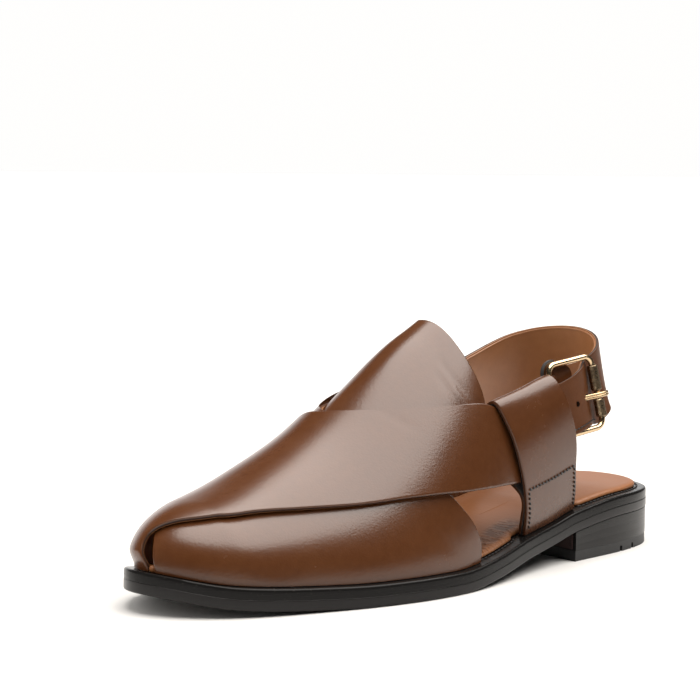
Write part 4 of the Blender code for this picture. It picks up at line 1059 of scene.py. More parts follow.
def make_strap(name, flip, table, finishes, stands_for=()):
    grid, away = spaced(strap_grid(flip, 170, 140), 92)
    bumps = creases(table, grid[..., 0], grid[..., 1])
    down = place_on_last(grid)[1]
    settled = smoothstep((1.0 - down) / 0.12)
    lift = np.zeros(away.shape)
    clear = np.zeros(away.shape)
    rounding = 0.62
    if flip > 0:
        raised = climb(grid)
        lift = TOP_STRAP_RISE * raised
        clear = (WALL + TOP_STRAP_CLEAR) * raised
    else:
        ridge_lip = (np.exp(-((grid[..., 0] + 9.0) / 12.0) ** 2)
                     * smoothstep((grid[..., 1] - along_to_y(70.0)) / 8.0))
        lift = RIDGE_LIP * ridge_lip * np.exp(-away / 5.0) * (grid[..., 1] > along_to_y(72.0))
        clear = lift * 0.4
        rounding = 0.62 + 0.6 * ridge_lip
    outer = on_upper(grid, lift + bumps * settled - cut_round(away, rounding))
    inner = on_upper(grid, clear - WALL + 0.02 + cut_round(away, 0.3))
    return finish_piece(name, wall(outer, inner, away), finishes, stands_for)


def make_tongue(finishes):
    """A wide tongue under both straps, from the vamp to its rear edge over the instep."""
    columns = 90
    rear = edge_curve(TONGUE_REAR, columns)
    foot = TONGUE_FOOT / 100.0
    front_y = along_to_y(TONGUE_FRONT)
    front = np.linspace(pattern(1, front_y, foot), pattern(-1, front_y, foot), columns)
    ys = np.linspace(front_y, rear[0][1], 90)
    sides = [np.array([pattern(side, y, foot) for y in ys]) for side in (1, -1)]
    grid = patch(sides[0], sides[1], front, rear).transpose(1, 0, 2)
    grid, away = spaced(grid, 70, first=False)
    bumps = creases(TONGUE_CREASES, grid[..., 0], grid[..., 1])
    low = WALL + 0.25
    outer = on_upper(grid, bumps - low - cut_round(away, 0.6))
    inner = on_upper(grid, bumps - low - TONGUE_WALL + cut_round(away, 0.4))
    return finish_piece("tongue_dressed", wall(outer, inner, away), finishes, ["tongue"])


TONGUE_CREASES = (
    Crease("ridge swell", -6.0, -18.0, 90.0, 18.0, 14.0, 1.0),
    Crease("soft crest", -10.0, -2.0, 90.0, 26.0, 5.0, -0.9),
    Crease("edge pucker 4", 16.0, 9.0, 42.0, 5.0, 1.1, -0.14),
    Crease("edge pucker 1", 10.0, 4.0, 30.0, 5.0, 1.3, -0.3),
    Crease("edge pucker 2", 13.0, 1.0, 38.0, 6.0, 1.4, -0.34),
    Crease("edge pucker 3", 15.0, 5.0, 50.0, 5.0, 1.2, 0.3),
)


# Side loops.
LOOP_STEPS = 110
LOOP_COLUMNS = 34


def loop_faces(side, extra_rise=0.0, splay=0.0, steps=LOOP_STEPS, shares=None):
    """Outer and inner faces of a folded loop: rows over the fold, columns from its front to its rear edge."""
    middle_y = along_to_y(LOOP_ALONG)
    reach = LOOP_FOOT_WIDTH / 2.0
    front = np.array([feather_x(middle_y - reach, side), middle_y - reach])
    rear = np.array([feather_x(middle_y + reach, side), middle_y + reach])
    middle = (front + rear) / 2.0
    slant = (rear - front) / np.linalg.norm(rear - front)
    outward = np.array([slant[1], -slant[0]]) * side
    top = max(step.up for step in LOOP_PROFILE)
    if shares is None:
        shares = stations(LOOP_FOOT_WIDTH, LOOP_COLUMNS) / LOOP_FOOT_WIDTH
    faces = {"outer": [], "inner": []}
    for share in shares:
        knots = [(step.front + (step.rear - step.front) * share, step.up) for step in LOOP_PROFILE]
        outer = spline(knots, steps)
        inner = shifted(outer, -LOOP_WALL)
        inner[0, 1] = inner[-1, 1] = 0.0
        for key, profile in (("outer", outer), ("inner", inner)):
            rows = []
            for out, up in profile:
                part_up = up / top
                up = up + extra_rise * part_up ** 2
                out = out + splay * part_up ** 2
                width = LOOP_FOOT_WIDTH + (LOOP_FOLD_WIDTH - LOOP_FOOT_WIDTH) * part_up
                run = (share - 0.5) * width - up * math.tan(math.radians(LOOP_LEAN))
                plan = middle + slant * run + outward * out
                foot_level = float(welt_top(middle[1] + (share - 0.5) * LOOP_FOOT_WIDTH)) + GAP
                grounded = float(welt_top(plan[1])) + GAP
                level = foot_level + up + LOOP_RISE * (share - 0.5) * part_up
                settle = min(up / 12.0, 1.0)
                rows.append((plan[0], plan[1], level * settle + (grounded + up) * (1.0 - settle)))
            faces[key].append(rows)
    outer = np.array(faces["outer"]).transpose(1, 0, 2)
    inner = np.array(faces["inner"]).transpose(1, 0, 2)
    return outer, inner


def make_side_loop(name, side, finishes, stands_for, extra_rise=0.0, splay=0.0):
    outer, inner = loop_faces(side, extra_rise, splay)
    shares = stations(LOOP_FOOT_WIDTH, LOOP_COLUMNS)
    away = np.tile(np.minimum(shares, LOOP_FOOT_WIDTH - shares), (LOOP_STEPS, 1))
    through = inner - outer
    through /= np.linalg.norm(through, axis=-1, keepdims=True)
    outer = outer + through * cut_round(away, 0.5)[..., None]
    inner = inner - through * cut_round(away, 0.25)[..., None]
    return finish_piece(name, wall(outer, inner, away), finishes, [stands_for])


LOOP_STITCH_TOP = 0.162     # share of the way from the outer foot, over the fold, to the inner foot
LOOP_STITCH_FOOT = 0.025


def make_loop_stitches(name, side, finish, extra_rise=0.0, splay=0.0):
    """Black stitches: a row across both legs and one down beside each edge."""
    shares = np.linspace(0.0, 1.0, 41)
    outer, inner = loop_faces(side, extra_rise, splay, 200, shares)
    normals = outer - inner
    mesh = bmesh.new()
    top = int(LOOP_STITCH_TOP * 199)
    foot = int(LOOP_STITCH_FOOT * 199)
    stitch_row(mesh, outer[top, 2:39], normals[top, 2:39], 1.5, 2.2, 0.46, 0.1, 30.0)
    for column in (2, 38):
        stitch_row(mesh, outer[foot:top, column], normals[foot:top, column], 1.5, 2.1, 0.38, 0.14, 14.0)
    return finish_piece(name, mesh, [finish])


# Heel strap.
HEEL_STRAP_STEPS = 240
LINING_STEP = 0.55


def strap_ways(points, leans):
    """Directions across and out from a strap that stands round the heel."""
    ahead = np.gradient(points, axis=0)
    ahead /= np.linalg.norm(ahead, axis=1)[:, None]
    out = np.stack([-ahead[:, 1], ahead[:, 0], np.zeros(len(ahead))], axis=1)
    out /= np.linalg.norm(out, axis=1)[:, None]
    rise_way = np.cross(ahead, out)
    lean = np.radians(leans)[:, None]
    return rise_way * np.cos(lean) - out * np.sin(lean), out * np.cos(lean) + rise_way * np.sin(lean)


def heel_strap_run(steps=HEEL_STRAP_STEPS):
    """The strap's middle line, its widths, and its ways across and out."""
    knots = np.array([(step.x, step.y, step.z) for step in HEEL_STRAP])
    path = spline(knots, steps)
    gone = travel(knots)
    travelled = np.linspace(0.0, gone[-1], steps)
    widths = np.interp(travelled, gone, [step.width for step in HEEL_STRAP])
    leans = np.interp(travelled, gone, [step.lean for step in HEEL_STRAP])
    across, normal = strap_ways(path, leans)
    return path, widths, across, normal


def strap_layer(low, high, trim, radius, count=40):
    """One layer of the heel strap between two depths, trimmed back from the strap's edges."""
    path, widths, across, normal = heel_strap_run()
    outer = []
    inner = []
    away = []
    for point, width, way, out in zip(path, widths, across, normal):
        wide = width - 2.0 * trim
        run = stations(wide, count)
        distance = np.minimum(run, wide - run)
        flat = point + np.outer(run - wide / 2.0, way)
        outer.append(flat + np.outer(high - cut_round(distance, radius), out))
        inner.append(flat + np.outer(low + cut_round(distance, radius), out))
        away.append(distance)
    return np.array(outer), np.array(inner), np.array(away)


def punch(piece, place, way, radius, depth):
    """A round hole through a strap. The hole's wall takes the strap's edge finish."""
    mesh = bmesh.new()
    bmesh.ops.create_cone(mesh, cap_ends=True, segments=20, radius1=radius, radius2=radius, depth=depth)
    bmesh.ops.transform(mesh, matrix=Vector(way).to_track_quat("Z", "Y").to_matrix().to_4x4(),
                        verts=mesh.verts)
    bmesh.ops.translate(mesh, vec=place, verts=mesh.verts)
    bmesh.ops.scale(mesh, vec=(MM, MM, MM), verts=mesh.verts)
    for face in mesh.faces:
        face.material_index = 1
    data = bpy.data.meshes.new("punch")
    mesh.to_mesh(data)
    mesh.free()
    cutter = bpy.data.objects.new("punch", data)
    for finish in piece.data.materials:
        data.materials.append(finish)
    bpy.context.scene.collection.objects.link(cutter)
    cut = piece.modifiers.new("hole", "BOOLEAN")
    cut.operation = "DIFFERENCE"
    cut.solver = "EXACT"
    cut.object = cutter
    made = bpy.data.meshes.new_from_object(piece.evaluated_get(bpy.context.evaluated_depsgraph_get()))
    piece.modifiers.clear()
    whole = piece.data
    made.name = whole.name
    piece.data = made
    bpy.data.objects.remove(cutter)
    bpy.data.meshes.remove(data)
    bpy.data.meshes.remove(whole)


SPARE_HOLE_Y = 63.4
SPARE_HOLE_RADIUS = 1.2


def make_heel_strap(finishes, lining_finishes):
    half = HEEL_STRAP_WALL / 2.0
    outer, inner, away = strap_layer(-half + 0.75, half, 0.0, 0.35)
    leather_layer = finish_piece("heel_strap_outer", wall(outer, inner, away), finishes, ["heel_strap"])
    outer, inner, away = strap_layer(-half, -half + 0.8, LINING_STEP, 0.3)
    lining = finish_piece("heel_strap_lining", wall(outer, inner, away), lining_finishes)
    path, _, _, normal = heel_strap_run()
    at = int(np.argmin(np.abs(path[:, 1] - SPARE_HOLE_Y) + 99.0 * (path[:, 0] < 0.0)))
    prong = spline([in_frame(step.along, PRONG_HEIGHT, step.out) for step in PRONG], 60)
    line = np.linalg.norm(prong[:, None] - path[None], axis=-1)
    crossing = int(np.argmin(line.min(axis=1)))
    ahead = prong[crossing + 1] - prong[crossing - 1]
    for piece in (leather_layer, lining):
        punch(piece, path[at], normal[at], SPARE_HOLE_RADIUS, 8.0)
        punch(piece, prong[crossing], ahead, PRONG_RADIUS + HOLE_SLACK, 14.0)


def make_strap_stitches(finish):
    """A row of stitches beside the strap's lower edge, from under the lateral loop to the roller."""
    path, widths, across, normal = heel_strap_run()
    half = HEEL_STRAP_WALL / 2.0
    line = path - across * (widths[:, None] / 2.0 - 2.0) + normal * half
    picked = (path[:, 0] > 20.0) & (path[:, 1] > 52.0) & (path[:, 1] < 78.0)
    mesh = bmesh.new()
    stitch_row(mesh, line[picked], normal[picked], 1.5, 1.9, 0.34, 0.12)
    return finish_piece("strap_tip_stitches", mesh, [finish])


# Buckle.
def frame_axes():
    slope = math.radians(FRAME_SLOPE)
    flare = math.radians(FRAME_FLARE)
    lean = math.radians(FRAME_LEAN)
    along = np.array([math.sin(flare) * math.cos(slope), math.cos(flare) * math.cos(slope), math.sin(slope)])
    side = np.array([math.cos(flare), -math.sin(flare), 0.0])
    rise_way = np.cross(side, along)
    out = side * math.cos(lean) + rise_way * math.sin(lean)
    rise_way = rise_way * math.cos(lean) - side * math.sin(lean)
    return along, rise_way, out


def in_frame(along, height, out):
    """A point given in the buckle's own axes."""
    ways = frame_axes()
    return np.array(FRAME_CENTRE) + ways[0] * along + ways[1] * height + ways[2] * out


def make_buckle_frame(finish):
    points = []
    half_along = FRAME_ALONG / 2.0 - FRAME_CORNER
    half_rise = FRAME_RISE / 2.0 - FRAME_CORNER
    for quarter, (sa, sr) in enumerate(((1, 1), (-1, 1), (-1, -1), (1, -1))):
        for step in range(13):
            angle = math.radians(90.0 * quarter + 7.5 * step)
            points.append(in_frame(sa * half_along + FRAME_CORNER * math.cos(angle),
                                   sr * half_rise + FRAME_CORNER * math.sin(angle), 0.0))
    return tube("buckle_frame_dressed", points, WIRE, finish, True, 28, ["buckle_frame"])


PRONG_BAND = 0.68       # radius of each of its two parallel bands


def make_prong(finish):
    path = spline([in_frame(step.along, PRONG_HEIGHT, step.out) for step in PRONG], 60)
    share = np.linspace(0.0, 1.0, 60)
    radius = PRONG_BAND * (1.0 - 0.2 * smoothstep((share - 0.92) / 0.08))
    apart = frame_axes()[1] * (PRONG_RADIUS - PRONG_BAND)
    tube("buckle_prong_band", path - apart, radius, finish, False, 16)
    return tube("buckle_prong_dressed", path + apart, radius, finish, False, 16,
                ["buckle_prong"])


ROLLER_SIDES = 10


def make_roller(name, low, high, finish, stands_for):
    """A faceted tube turned round the frame's rear bar."""
    out_way = frame_axes()[2]
    mesh = bmesh.new()
    inside = WIRE + 0.12
    soft = 0.35
    profile = ((inside, low + 0.1), (inside + 0.3, low), (ROLLER - soft, low), (ROLLER, low + soft),
               (ROLLER, high - soft), (ROLLER - soft, high), (inside + 0.3, high), (inside, high - 0.1))
    corners = []
    for radius, end in profile:
        corners.append(mesh.verts.new(in_frame(FRAME_ALONG / 2.0, end, 0.0) + out_way * radius))
    for i in range(len(corners)):
        mesh.edges.new((corners[i], corners[(i + 1) % len(corners)]))
    bmesh.ops.spin(
        mesh, geom=mesh.verts[:] + mesh.edges[:], cent=in_frame(FRAME_ALONG / 2.0, 0.0, 0.0),
        axis=frame_axes()[1], angle=2.0 * math.pi, steps=ROLLER_SIDES, use_merge=True,
    )
    bmesh.ops.recalc_face_normals(mesh, faces=mesh.faces[:])
    mesh.verts.layers.float.new("edge")
    long_edges = [e for e in mesh.edges
                  if e.calc_length() > 3.0 and e.calc_face_angle(0.0) > math.radians(20.0)]
    bmesh.ops.bevel(mesh, geom=long_edges, offset=0.16, offset_type="OFFSET", segments=2, profile=0.5,
                    affect="EDGES", material=-1)
    return finish_piece(name, outwards(mesh), [finish], [stands_for], 25.0)


def make_chape(finishes):
    """A leather tab folded round the buckle's front bar, its two ends together towards the toe."""
    bar = -FRAME_ALONG / 2.0
    inside = WIRE + 0.15
    half_turn = np.linspace(math.pi / 2.0, -math.pi / 2.0, 13)
    turn = [(bar + inside * math.cos(a), inside * math.sin(a)) for a in half_turn]
    outer_leg = [
        (bar - CHAPE_TAIL, CHAPE_TAIL_GAP),
        (bar - CHAPE_NECK, CHAPE_NECK_GAP),
        (bar - CHAPE_BEND, inside),
    ]
    inner_leg = [(along, -out) for along, out in reversed(outer_leg)]
    inner = resample(np.array(outer_leg + turn + inner_leg), 60)
    outer = shifted(inner, -CHAPE_WALL)
    counts = 22

    def stand(profile):
        rows = []
        for along, out in profile:
            forward = max(bar - along, 0.0) / CHAPE_TAIL
            half = CHAPE_HALF - CHAPE_TAPER * math.sqrt(forward)
            run = stations(2.0 * half, counts) - half
            rows.append([in_frame(along, h, out) for h in run])
        return np.array(rows)

    away = np.tile(np.minimum(stations(20.0, counts), 20.0 - stations(20.0, counts)), (60, 1))
    return finish_piece("buckle_chape_dressed", wall(stand(outer), stand(inner), away), finishes,
                        ["buckle_chape"])


GUARD_STEPS = 24
GUARD_BORDER = 0.9
GUARD_GREY_END = -6.0   # along the frame, where the guard's grey painted border runs out


def make_chape_guard(finishes):
    """The rounded end of the chape that stands behind the frame's upper front corner."""
    mesh = bmesh.new()
    ring = []
    for (along, height, radius), start, stop in ((GUARD_REAR, -80.0, 85.0), (GUARD_FRONT, 75.0, 285.0)):
        for angle in np.radians(np.linspace(start, stop, GUARD_STEPS)):
            place = in_frame(along + radius * math.cos(angle), height + radius * math.sin(angle), GUARD_LEVEL)
            ring.append(mesh.verts.new(place - frame_axes()[2] * CHAPE_WALL / 2.0))
    mesh.faces.new(ring)
    made = bmesh.ops.extrude_face_region(mesh, geom=mesh.faces[:])
    lifted = [v for v in made["geom"] if isinstance(v, bmesh.types.BMVert)]
    bmesh.ops.translate(mesh, verts=lifted, vec=frame_axes()[2] * CHAPE_WALL)
    bmesh.ops.recalc_face_normals(mesh, faces=mesh.faces[:])
    broad = [f for f in mesh.faces if len(f.verts) > 4]
    for face in mesh.faces:
        face.material_index = 1
    bmesh.ops.inset_region(mesh, faces=broad, thickness=0.3, depth=0.0)
    bmesh.ops.translate(mesh, verts=[v for f in broad[:1] for v in f.verts], vec=broad[0].normal * 0.15)
    bmesh.ops.translate(mesh, verts=[v for f in broad[1:] for v in f.verts], vec=broad[1].normal * 0.15)
    bmesh.ops.inset_region(mesh, faces=broad, thickness=GUARD_BORDER - 0.3, depth=0.0)
    for face in broad:
        face.material_index = 0
    along_way = Vector(frame_axes()[0])
    for face in mesh.faces:
        if (face.calc_center_median() - Vector(FRAME_CENTRE)).dot(along_way) > GUARD_GREY_END:
            face.material_index = 0
    layer = mesh.verts.layers.float.new("edge")
    for vertex in mesh.verts:
        vertex[layer] = 9.0
    return finish_piece("buckle_chape_guard", outwards(mesh), finishes)


# Finishes.
def new_group(name, inputs, outputs):
    """An empty effect with named sockets; gives its tree and its two end nodes."""
    tree = bpy.data.node_groups.new(name, "ShaderNodeTree")
    for label, kind, value in inputs:
        socket = tree.interface.new_socket(name=label, in_out="INPUT", socket_type=kind)
        if value is not None:
            socket.default_value = value
    for label in outputs:
        tree.interface.new_socket(name=label, in_out="OUTPUT", socket_type="NodeSocketFloat")
    return tree, tree.nodes.new("NodeGroupInput"), tree.nodes.new("NodeGroupOutput")


def add_node(tree, kind, links=(), **settings):
    """A node with settings; links is rows of input name and the socket or value that feeds it."""
    made = tree.nodes.new(kind)
    for key, value in settings.items():
        setattr(made, key, value)
    for key, source in links:
        if isinstance(source, bpy.types.NodeSocket):
            tree.links.new(source, made.inputs[key])
        else:
            made.inputs[key].default_value = source
    return made


def arithmetic(tree, operation, first, second=0.0, clamp=False):
    made = add_node(tree, "ShaderNodeMath", [(0, first), (1, second)], operation=operation, use_clamp=clamp)
    return made.outputs[0]


def blend_colours(tree, share, first, second):
    made = add_node(tree, "ShaderNodeMix", data_type="RGBA")
    for index, source in ((0, share), (6, first), (7, second)):
        if isinstance(source, bpy.types.NodeSocket):
            tree.links.new(source, made.inputs[index])
        elif index == 0:
            made.inputs[index].default_value = source
        else:
            made.inputs[index].default_value = (*source, 1.0)
    return made.outputs[2]


def make_hide_grain():
    """Pores and fine pebbling of a hide, and its broad mottling. Scale is pebbles to the metre."""
    tree, start, end = new_group(
        "hide_grain", [("Vector", "NodeSocketVector", None), ("Scale", "NodeSocketFloat", 1500.0)],
        ["Height", "Mottle"]
    )
    scaled = add_node(tree, "ShaderNodeVectorMath",
                      [(0, start.outputs["Vector"]), (3, start.outputs["Scale"])],
                      operation="SCALE").outputs[0]
    pebbles = add_node(tree, "ShaderNodeTexVoronoi", [("Vector", scaled), ("Scale", 1.0)],
                       feature="SMOOTH_F1")
    pores = add_node(tree, "ShaderNodeTexNoise", [("Vector", scaled), ("Scale", 0.55), ("Detail", 3.0)])
    height = arithmetic(tree, "MULTIPLY", pebbles.outputs["Distance"], 0.45)
    tree.links.new(arithmetic(tree, "ADD", height, arithmetic(tree, "MULTIPLY", pores.outputs["Fac"], 0.55)),
                   end.inputs["Height"])
    broad = add_node(tree, "ShaderNodeTexNoise", [("Vector", start.outputs["Vector"]), ("Scale", 34.0),
                                                  ("Detail", 4.0), ("Roughness", 0.55)])
    small = add_node(tree, "ShaderNodeTexNoise", [("Vector", scaled), ("Scale", 0.22), ("Detail", 2.0)])
    mix = arithmetic(tree, "ADD", arithmetic(tree, "MULTIPLY", broad.outputs["Fac"], 0.65),
                     arithmetic(tree, "MULTIPLY", small.outputs["Fac"], 0.35))
    tree.links.new(mix, end.inputs["Mottle"])
    return tree


def make_edge_wear():
    """How burnished a place is beside a cut edge. Distance and Reach are in millimetres."""
    tree, start, end = new_group(
        "edge_burnish",
        [("Distance", "NodeSocketFloat", 99.0), ("Reach", "NodeSocketFloat", 2.0),
         ("Vector", "NodeSocketVector", None)],
        ["Mask"],
    )
    near = add_node(tree, "ShaderNodeMapRange", [("Value", start.outputs["Distance"]), ("From Min", 0.0),
                                                 ("From Max", start.outputs["Reach"]), ("To Min", 1.0),
                                                 ("To Max", 0.0)], interpolation_type="SMOOTHSTEP")
    patchy = add_node(tree, "ShaderNodeTexNoise", [("Vector", start.outputs["Vector"]), ("Scale", 260.0),
                                                   ("Detail", 3.0)])
    share = arithmetic(tree, "ADD", arithmetic(tree, "MULTIPLY", patchy.outputs["Fac"], 0.8), 0.5)
    tree.links.new(arithmetic(tree, "MULTIPLY", near.outputs[0], share, True), end.inputs["Mask"])
    return tree


def make_trim_streaks():
    """Fine level streaks left by trimming and burnishing a sole's edge, and dust caught in them."""
    tree, start, end = new_group("trim_streaks", [("Vector", "NodeSocketVector", None)], ["Height", "Dust"])
    stretched = add_node(tree, "ShaderNodeVectorMath",
                         [(0, start.outputs["Vector"]), (1, (40.0, 40.0, 1600.0))],
                         operation="MULTIPLY").outputs[0]
    streaks = add_node(tree, "ShaderNodeTexNoise", [("Vector", stretched), ("Scale", 1.0), ("Detail", 3.0)])
    tree.links.new(streaks.outputs["Fac"], end.inputs["Height"])
    specks = add_node(tree, "ShaderNodeTexNoise", [("Vector", start.outputs["Vector"]), ("Scale", 900.0),
                                                   ("Detail", 2.0)])
    dust = add_node(tree, "ShaderNodeMapRange", [("Value", specks.outputs["Fac"]), ("From Min", 0.66),
                                                 ("From Max", 0.78)])
    tree.links.new(dust.outputs[0], end.inputs["Dust"])
    return tree


def make_waist_wrinkles_and_shade():
    """Fine wrinkles across the sock in the lateral waist, and painted shade: a darker band and darker folds.
    """
    tree, start, end = new_group(
        "waist_wrinkles_and_painted_shade", [("Vector", "NodeSocketVector", None), ("Distance", "NodeSocketFloat", 99.0)],
        ["Height", "Shade"],
    )

    def ramp(value, low, high):
        return add_node(tree, "ShaderNodeMapRange", [("Value", value), ("From Min", low), ("From Max", high)],
                        interpolation_type="SMOOTHSTEP").outputs[0]

    distance = start.outputs["Distance"]
    place = add_node(tree, "ShaderNodeSeparateXYZ", [(0, start.outputs["Vector"])]).outputs
    # Painted shade: the darker band inside the sock's edge by the lateral loop.
    band = arithmetic(tree, "MULTIPLY", ramp(distance, 1.5, 4.5), ramp(distance, 14.0, 9.0))
    reach = arithmetic(tree, "MULTIPLY", ramp(place[1], -0.022, -0.006), ramp(place[1], 0.044, 0.030))
    band = arithmetic(tree, "MULTIPLY", band,
                      arithmetic(tree, "MULTIPLY", reach, ramp(place[0], 0.008, 0.014)))
    # Near the edge: deeper wrinkles, and a little painted shade there too.
    wrinkle_shade = arithmetic(tree, "MULTIPLY", arithmetic(tree, "MULTIPLY", ramp(distance, 7.0, 3.0), reach),
                      ramp(place[0], 0.008, 0.014))
    stretched = add_node(tree, "ShaderNodeVectorMath",
                         [(0, start.outputs["Vector"]), (1, (150.0, 620.0, 150.0))],
                         operation="MULTIPLY").outputs[0]
    lines = add_node(tree, "ShaderNodeTexNoise", [("Vector", stretched), ("Scale", 1.0), ("Detail", 3.0),
                                                  ("Distortion", 0.6)]).outputs["Fac"]
    folds = ramp(lines, 0.42, 0.62)
    both = arithmetic(tree, "ADD", band, wrinkle_shade, True)
    tree.links.new(arithmetic(tree, "MULTIPLY", folds, both), end.inputs["Height"])
    # Painted shade in the wrinkles' folds; the Shade output darkens the sock's colour by it.
    dark = arithmetic(tree, "SUBTRACT", 1.0, arithmetic(tree, "MULTIPLY", folds, 0.65))
    tree.links.new(arithmetic(tree, "ADD", arithmetic(tree, "MULTIPLY", dark, band),
                              arithmetic(tree, "MULTIPLY", dark, arithmetic(tree, "MULTIPLY", wrinkle_shade, 0.3)),
                              True),
                   end.inputs["Shade"])
    return tree


HIDE_GRAIN = make_hide_grain()
WAIST_WRINKLES_AND_SHADE = make_waist_wrinkles_and_shade()
EDGE_BURNISH = make_edge_wear()
TRIM_STREAKS = make_trim_streaks()


def start_material(name):
    made = bpy.data.materials.new(name)
    made.use_nodes = True
    tree = made.node_tree
    shader = tree.nodes["Principled BSDF"]
    where = add_node(tree, "ShaderNodeTexCoord").outputs["Object"]
    return made, tree, shader, where


def use_group(tree, group, links):
    made = tree.nodes.new("ShaderNodeGroup")
    made.node_tree = group
    for key, source in links:
        if isinstance(source, bpy.types.NodeSocket):
            tree.links.new(source, made.inputs[key])
        else:
            made.inputs[key].default_value = source
    return made


def edge_distance(tree):
    return add_node(tree, "ShaderNodeAttribute", attribute_name="edge").outputs["Fac"]


def bump_into(tree, shader, height, strength, distance):
    bump = add_node(tree, "ShaderNodeBump",
                    [("Height", height), ("Strength", strength), ("Distance", distance)])
    tree.links.new(bump.outputs[0], shader.inputs["Normal"])


def leather(name, colour, deep, edge_colour, roughness, grain_scale, grain_depth, gloss, coat,
            edge_reach=1.6):
    """A dyed, finished leather: grain, mottling and burnished edges."""
    made, tree, shader, where = start_material(name)
    grain = use_group(tree, HIDE_GRAIN, [("Vector", where), ("Scale", grain_scale)])
    burnish = use_group(tree, EDGE_BURNISH, [("Distance", edge_distance(tree)), ("Reach", edge_reach),
                                             ("Vector", where)])
    mottle = add_node(tree, "ShaderNodeMapRange", [("Value", grain.outputs["Mottle"]), ("From Min", 0.35),
                                                   ("From Max", 0.65)]).outputs[0]
    body = blend_colours(tree, mottle, deep, colour)
    tree.links.new(blend_colours(tree, burnish.outputs["Mask"], body, edge_colour),
                   shader.inputs["Base Color"])
    rough = arithmetic(tree, "ADD", arithmetic(tree, "MULTIPLY", grain.outputs["Mottle"], 0.12),
                       roughness - 0.06)
    tree.links.new(rough, shader.inputs["Roughness"])
    bump_into(tree, shader, grain.outputs["Height"], 1.0, grain_depth)
    shader.inputs["Specular IOR Level"].default_value = gloss
    shader.inputs["Coat Weight"].default_value = coat
    shader.inputs["Coat Roughness"].default_value = 0.3
    return made


def wrinkled_shaded_sock(name, colour, deep, edge_colour, wrinkle_shade):
    """The sock's leather, with painted shade: a darker wrinkled band in the lateral waist."""
    made, tree, shader, where = start_material(name)
    grain = use_group(tree, HIDE_GRAIN, [("Vector", where), ("Scale", 950.0)])
    distance = edge_distance(tree)
    burnish = use_group(tree, EDGE_BURNISH, [("Distance", distance), ("Reach", 3.0), ("Vector", where)])
    wrinkles = use_group(tree, WAIST_WRINKLES_AND_SHADE, [("Vector", where), ("Distance", distance)])
    body = blend_colours(tree, grain.outputs["Mottle"], deep, colour)
    body = blend_colours(tree, burnish.outputs["Mask"], body, edge_colour)
    # Painted shade: the sock's colour is pulled towards the dark shade colour in the waist.
    shade = arithmetic(tree, "MULTIPLY", wrinkles.outputs["Shade"], 0.8)
    tree.links.new(blend_colours(tree, shade, body, wrinkle_shade), shader.inputs["Base Color"])
    tree.links.new(arithmetic(tree, "ADD", arithmetic(tree, "MULTIPLY", grain.outputs["Mottle"], 0.12), 0.42),
                   shader.inputs["Roughness"])
    height = arithmetic(tree, "ADD", arithmetic(tree, "MULTIPLY", grain.outputs["Height"], 0.15),
                        wrinkles.outputs["Height"])
    bump_into(tree, shader, height, 1.0, 0.00045)
    shader.inputs["Specular IOR Level"].default_value = 0.38
    shader.inputs["Coat Weight"].default_value = 0.06
    shader.inputs["Coat Roughness"].default_value = 0.3
    return made


def painted_edge(name, colour, roughness=0.42):
    made, tree, shader, where = start_material(name)
    grain = use_group(tree, HIDE_GRAIN, [("Vector", where), ("Scale", 2600.0)])
    darker = tuple(c * 0.55 for c in colour)
    tree.links.new(blend_colours(tree, grain.outputs["Mottle"], darker, colour), shader.inputs["Base Color"])
    tree.links.new(arithmetic(tree, "ADD", arithmetic(tree, "MULTIPLY", grain.outputs["Height"], 0.2),
                              roughness - 0.1), shader.inputs["Roughness"])
    bump_into(tree, shader, grain.outputs["Height"], 0.7, 0.00006)
    return made


def flesh_side(name, colour, deep):
    made, tree, shader, where = start_material(name)
    nap = add_node(tree, "ShaderNodeTexNoise", [("Vector", where), ("Scale", 1900.0), ("Detail", 5.0),
                                                ("Roughness", 0.7)]).outputs["Fac"]
    clumps = add_node(tree, "ShaderNodeTexNoise",
                      [("Vector", where), ("Scale", 420.0), ("Detail", 3.0)]).outputs["Fac"]
    share = arithmetic(tree, "MULTIPLY", nap, clumps)
    spread = add_node(tree, "ShaderNodeMapRange",
                      [("Value", share), ("From Min", 0.12), ("From Max", 0.42)]).outputs[0]
    tree.links.new(blend_colours(tree, spread, deep, colour), shader.inputs["Base Color"])
    tree.links.new(arithmetic(tree, "ADD", arithmetic(tree, "MULTIPLY", clumps, 0.1), 0.85),
                   shader.inputs["Roughness"])
    bump_into(tree, shader, share, 1.0, 0.0004)
    shader.inputs["Sheen Weight"].default_value = 0.2
    shader.inputs["Sheen Roughness"].default_value = 0.6
    return made


def sole_black(name, colour, dust_colour, roughness, streak_depth, gloss):
    made, tree, shader, where = start_material(name)
    streaks = use_group(tree, TRIM_STREAKS, [("Vector", where)])
    dusty = arithmetic(tree, "MULTIPLY", streaks.outputs["Dust"], 0.35)
    tree.links.new(blend_colours(tree, dusty, colour, dust_colour), shader.inputs["Base Color"])
    tree.links.new(arithmetic(tree, "ADD", arithmetic(tree, "MULTIPLY", streaks.outputs["Height"], 0.16),
                              roughness - 0.08), shader.inputs["Roughness"])
    bump_into(tree, shader, streaks.outputs["Height"], 0.8, streak_depth)
    shader.inputs["Specular IOR Level"].default_value = gloss
    shader.inputs["Coat Weight"].default_value = 0.02
    shader.inputs["Coat Roughness"].default_value = 0.2
    return made


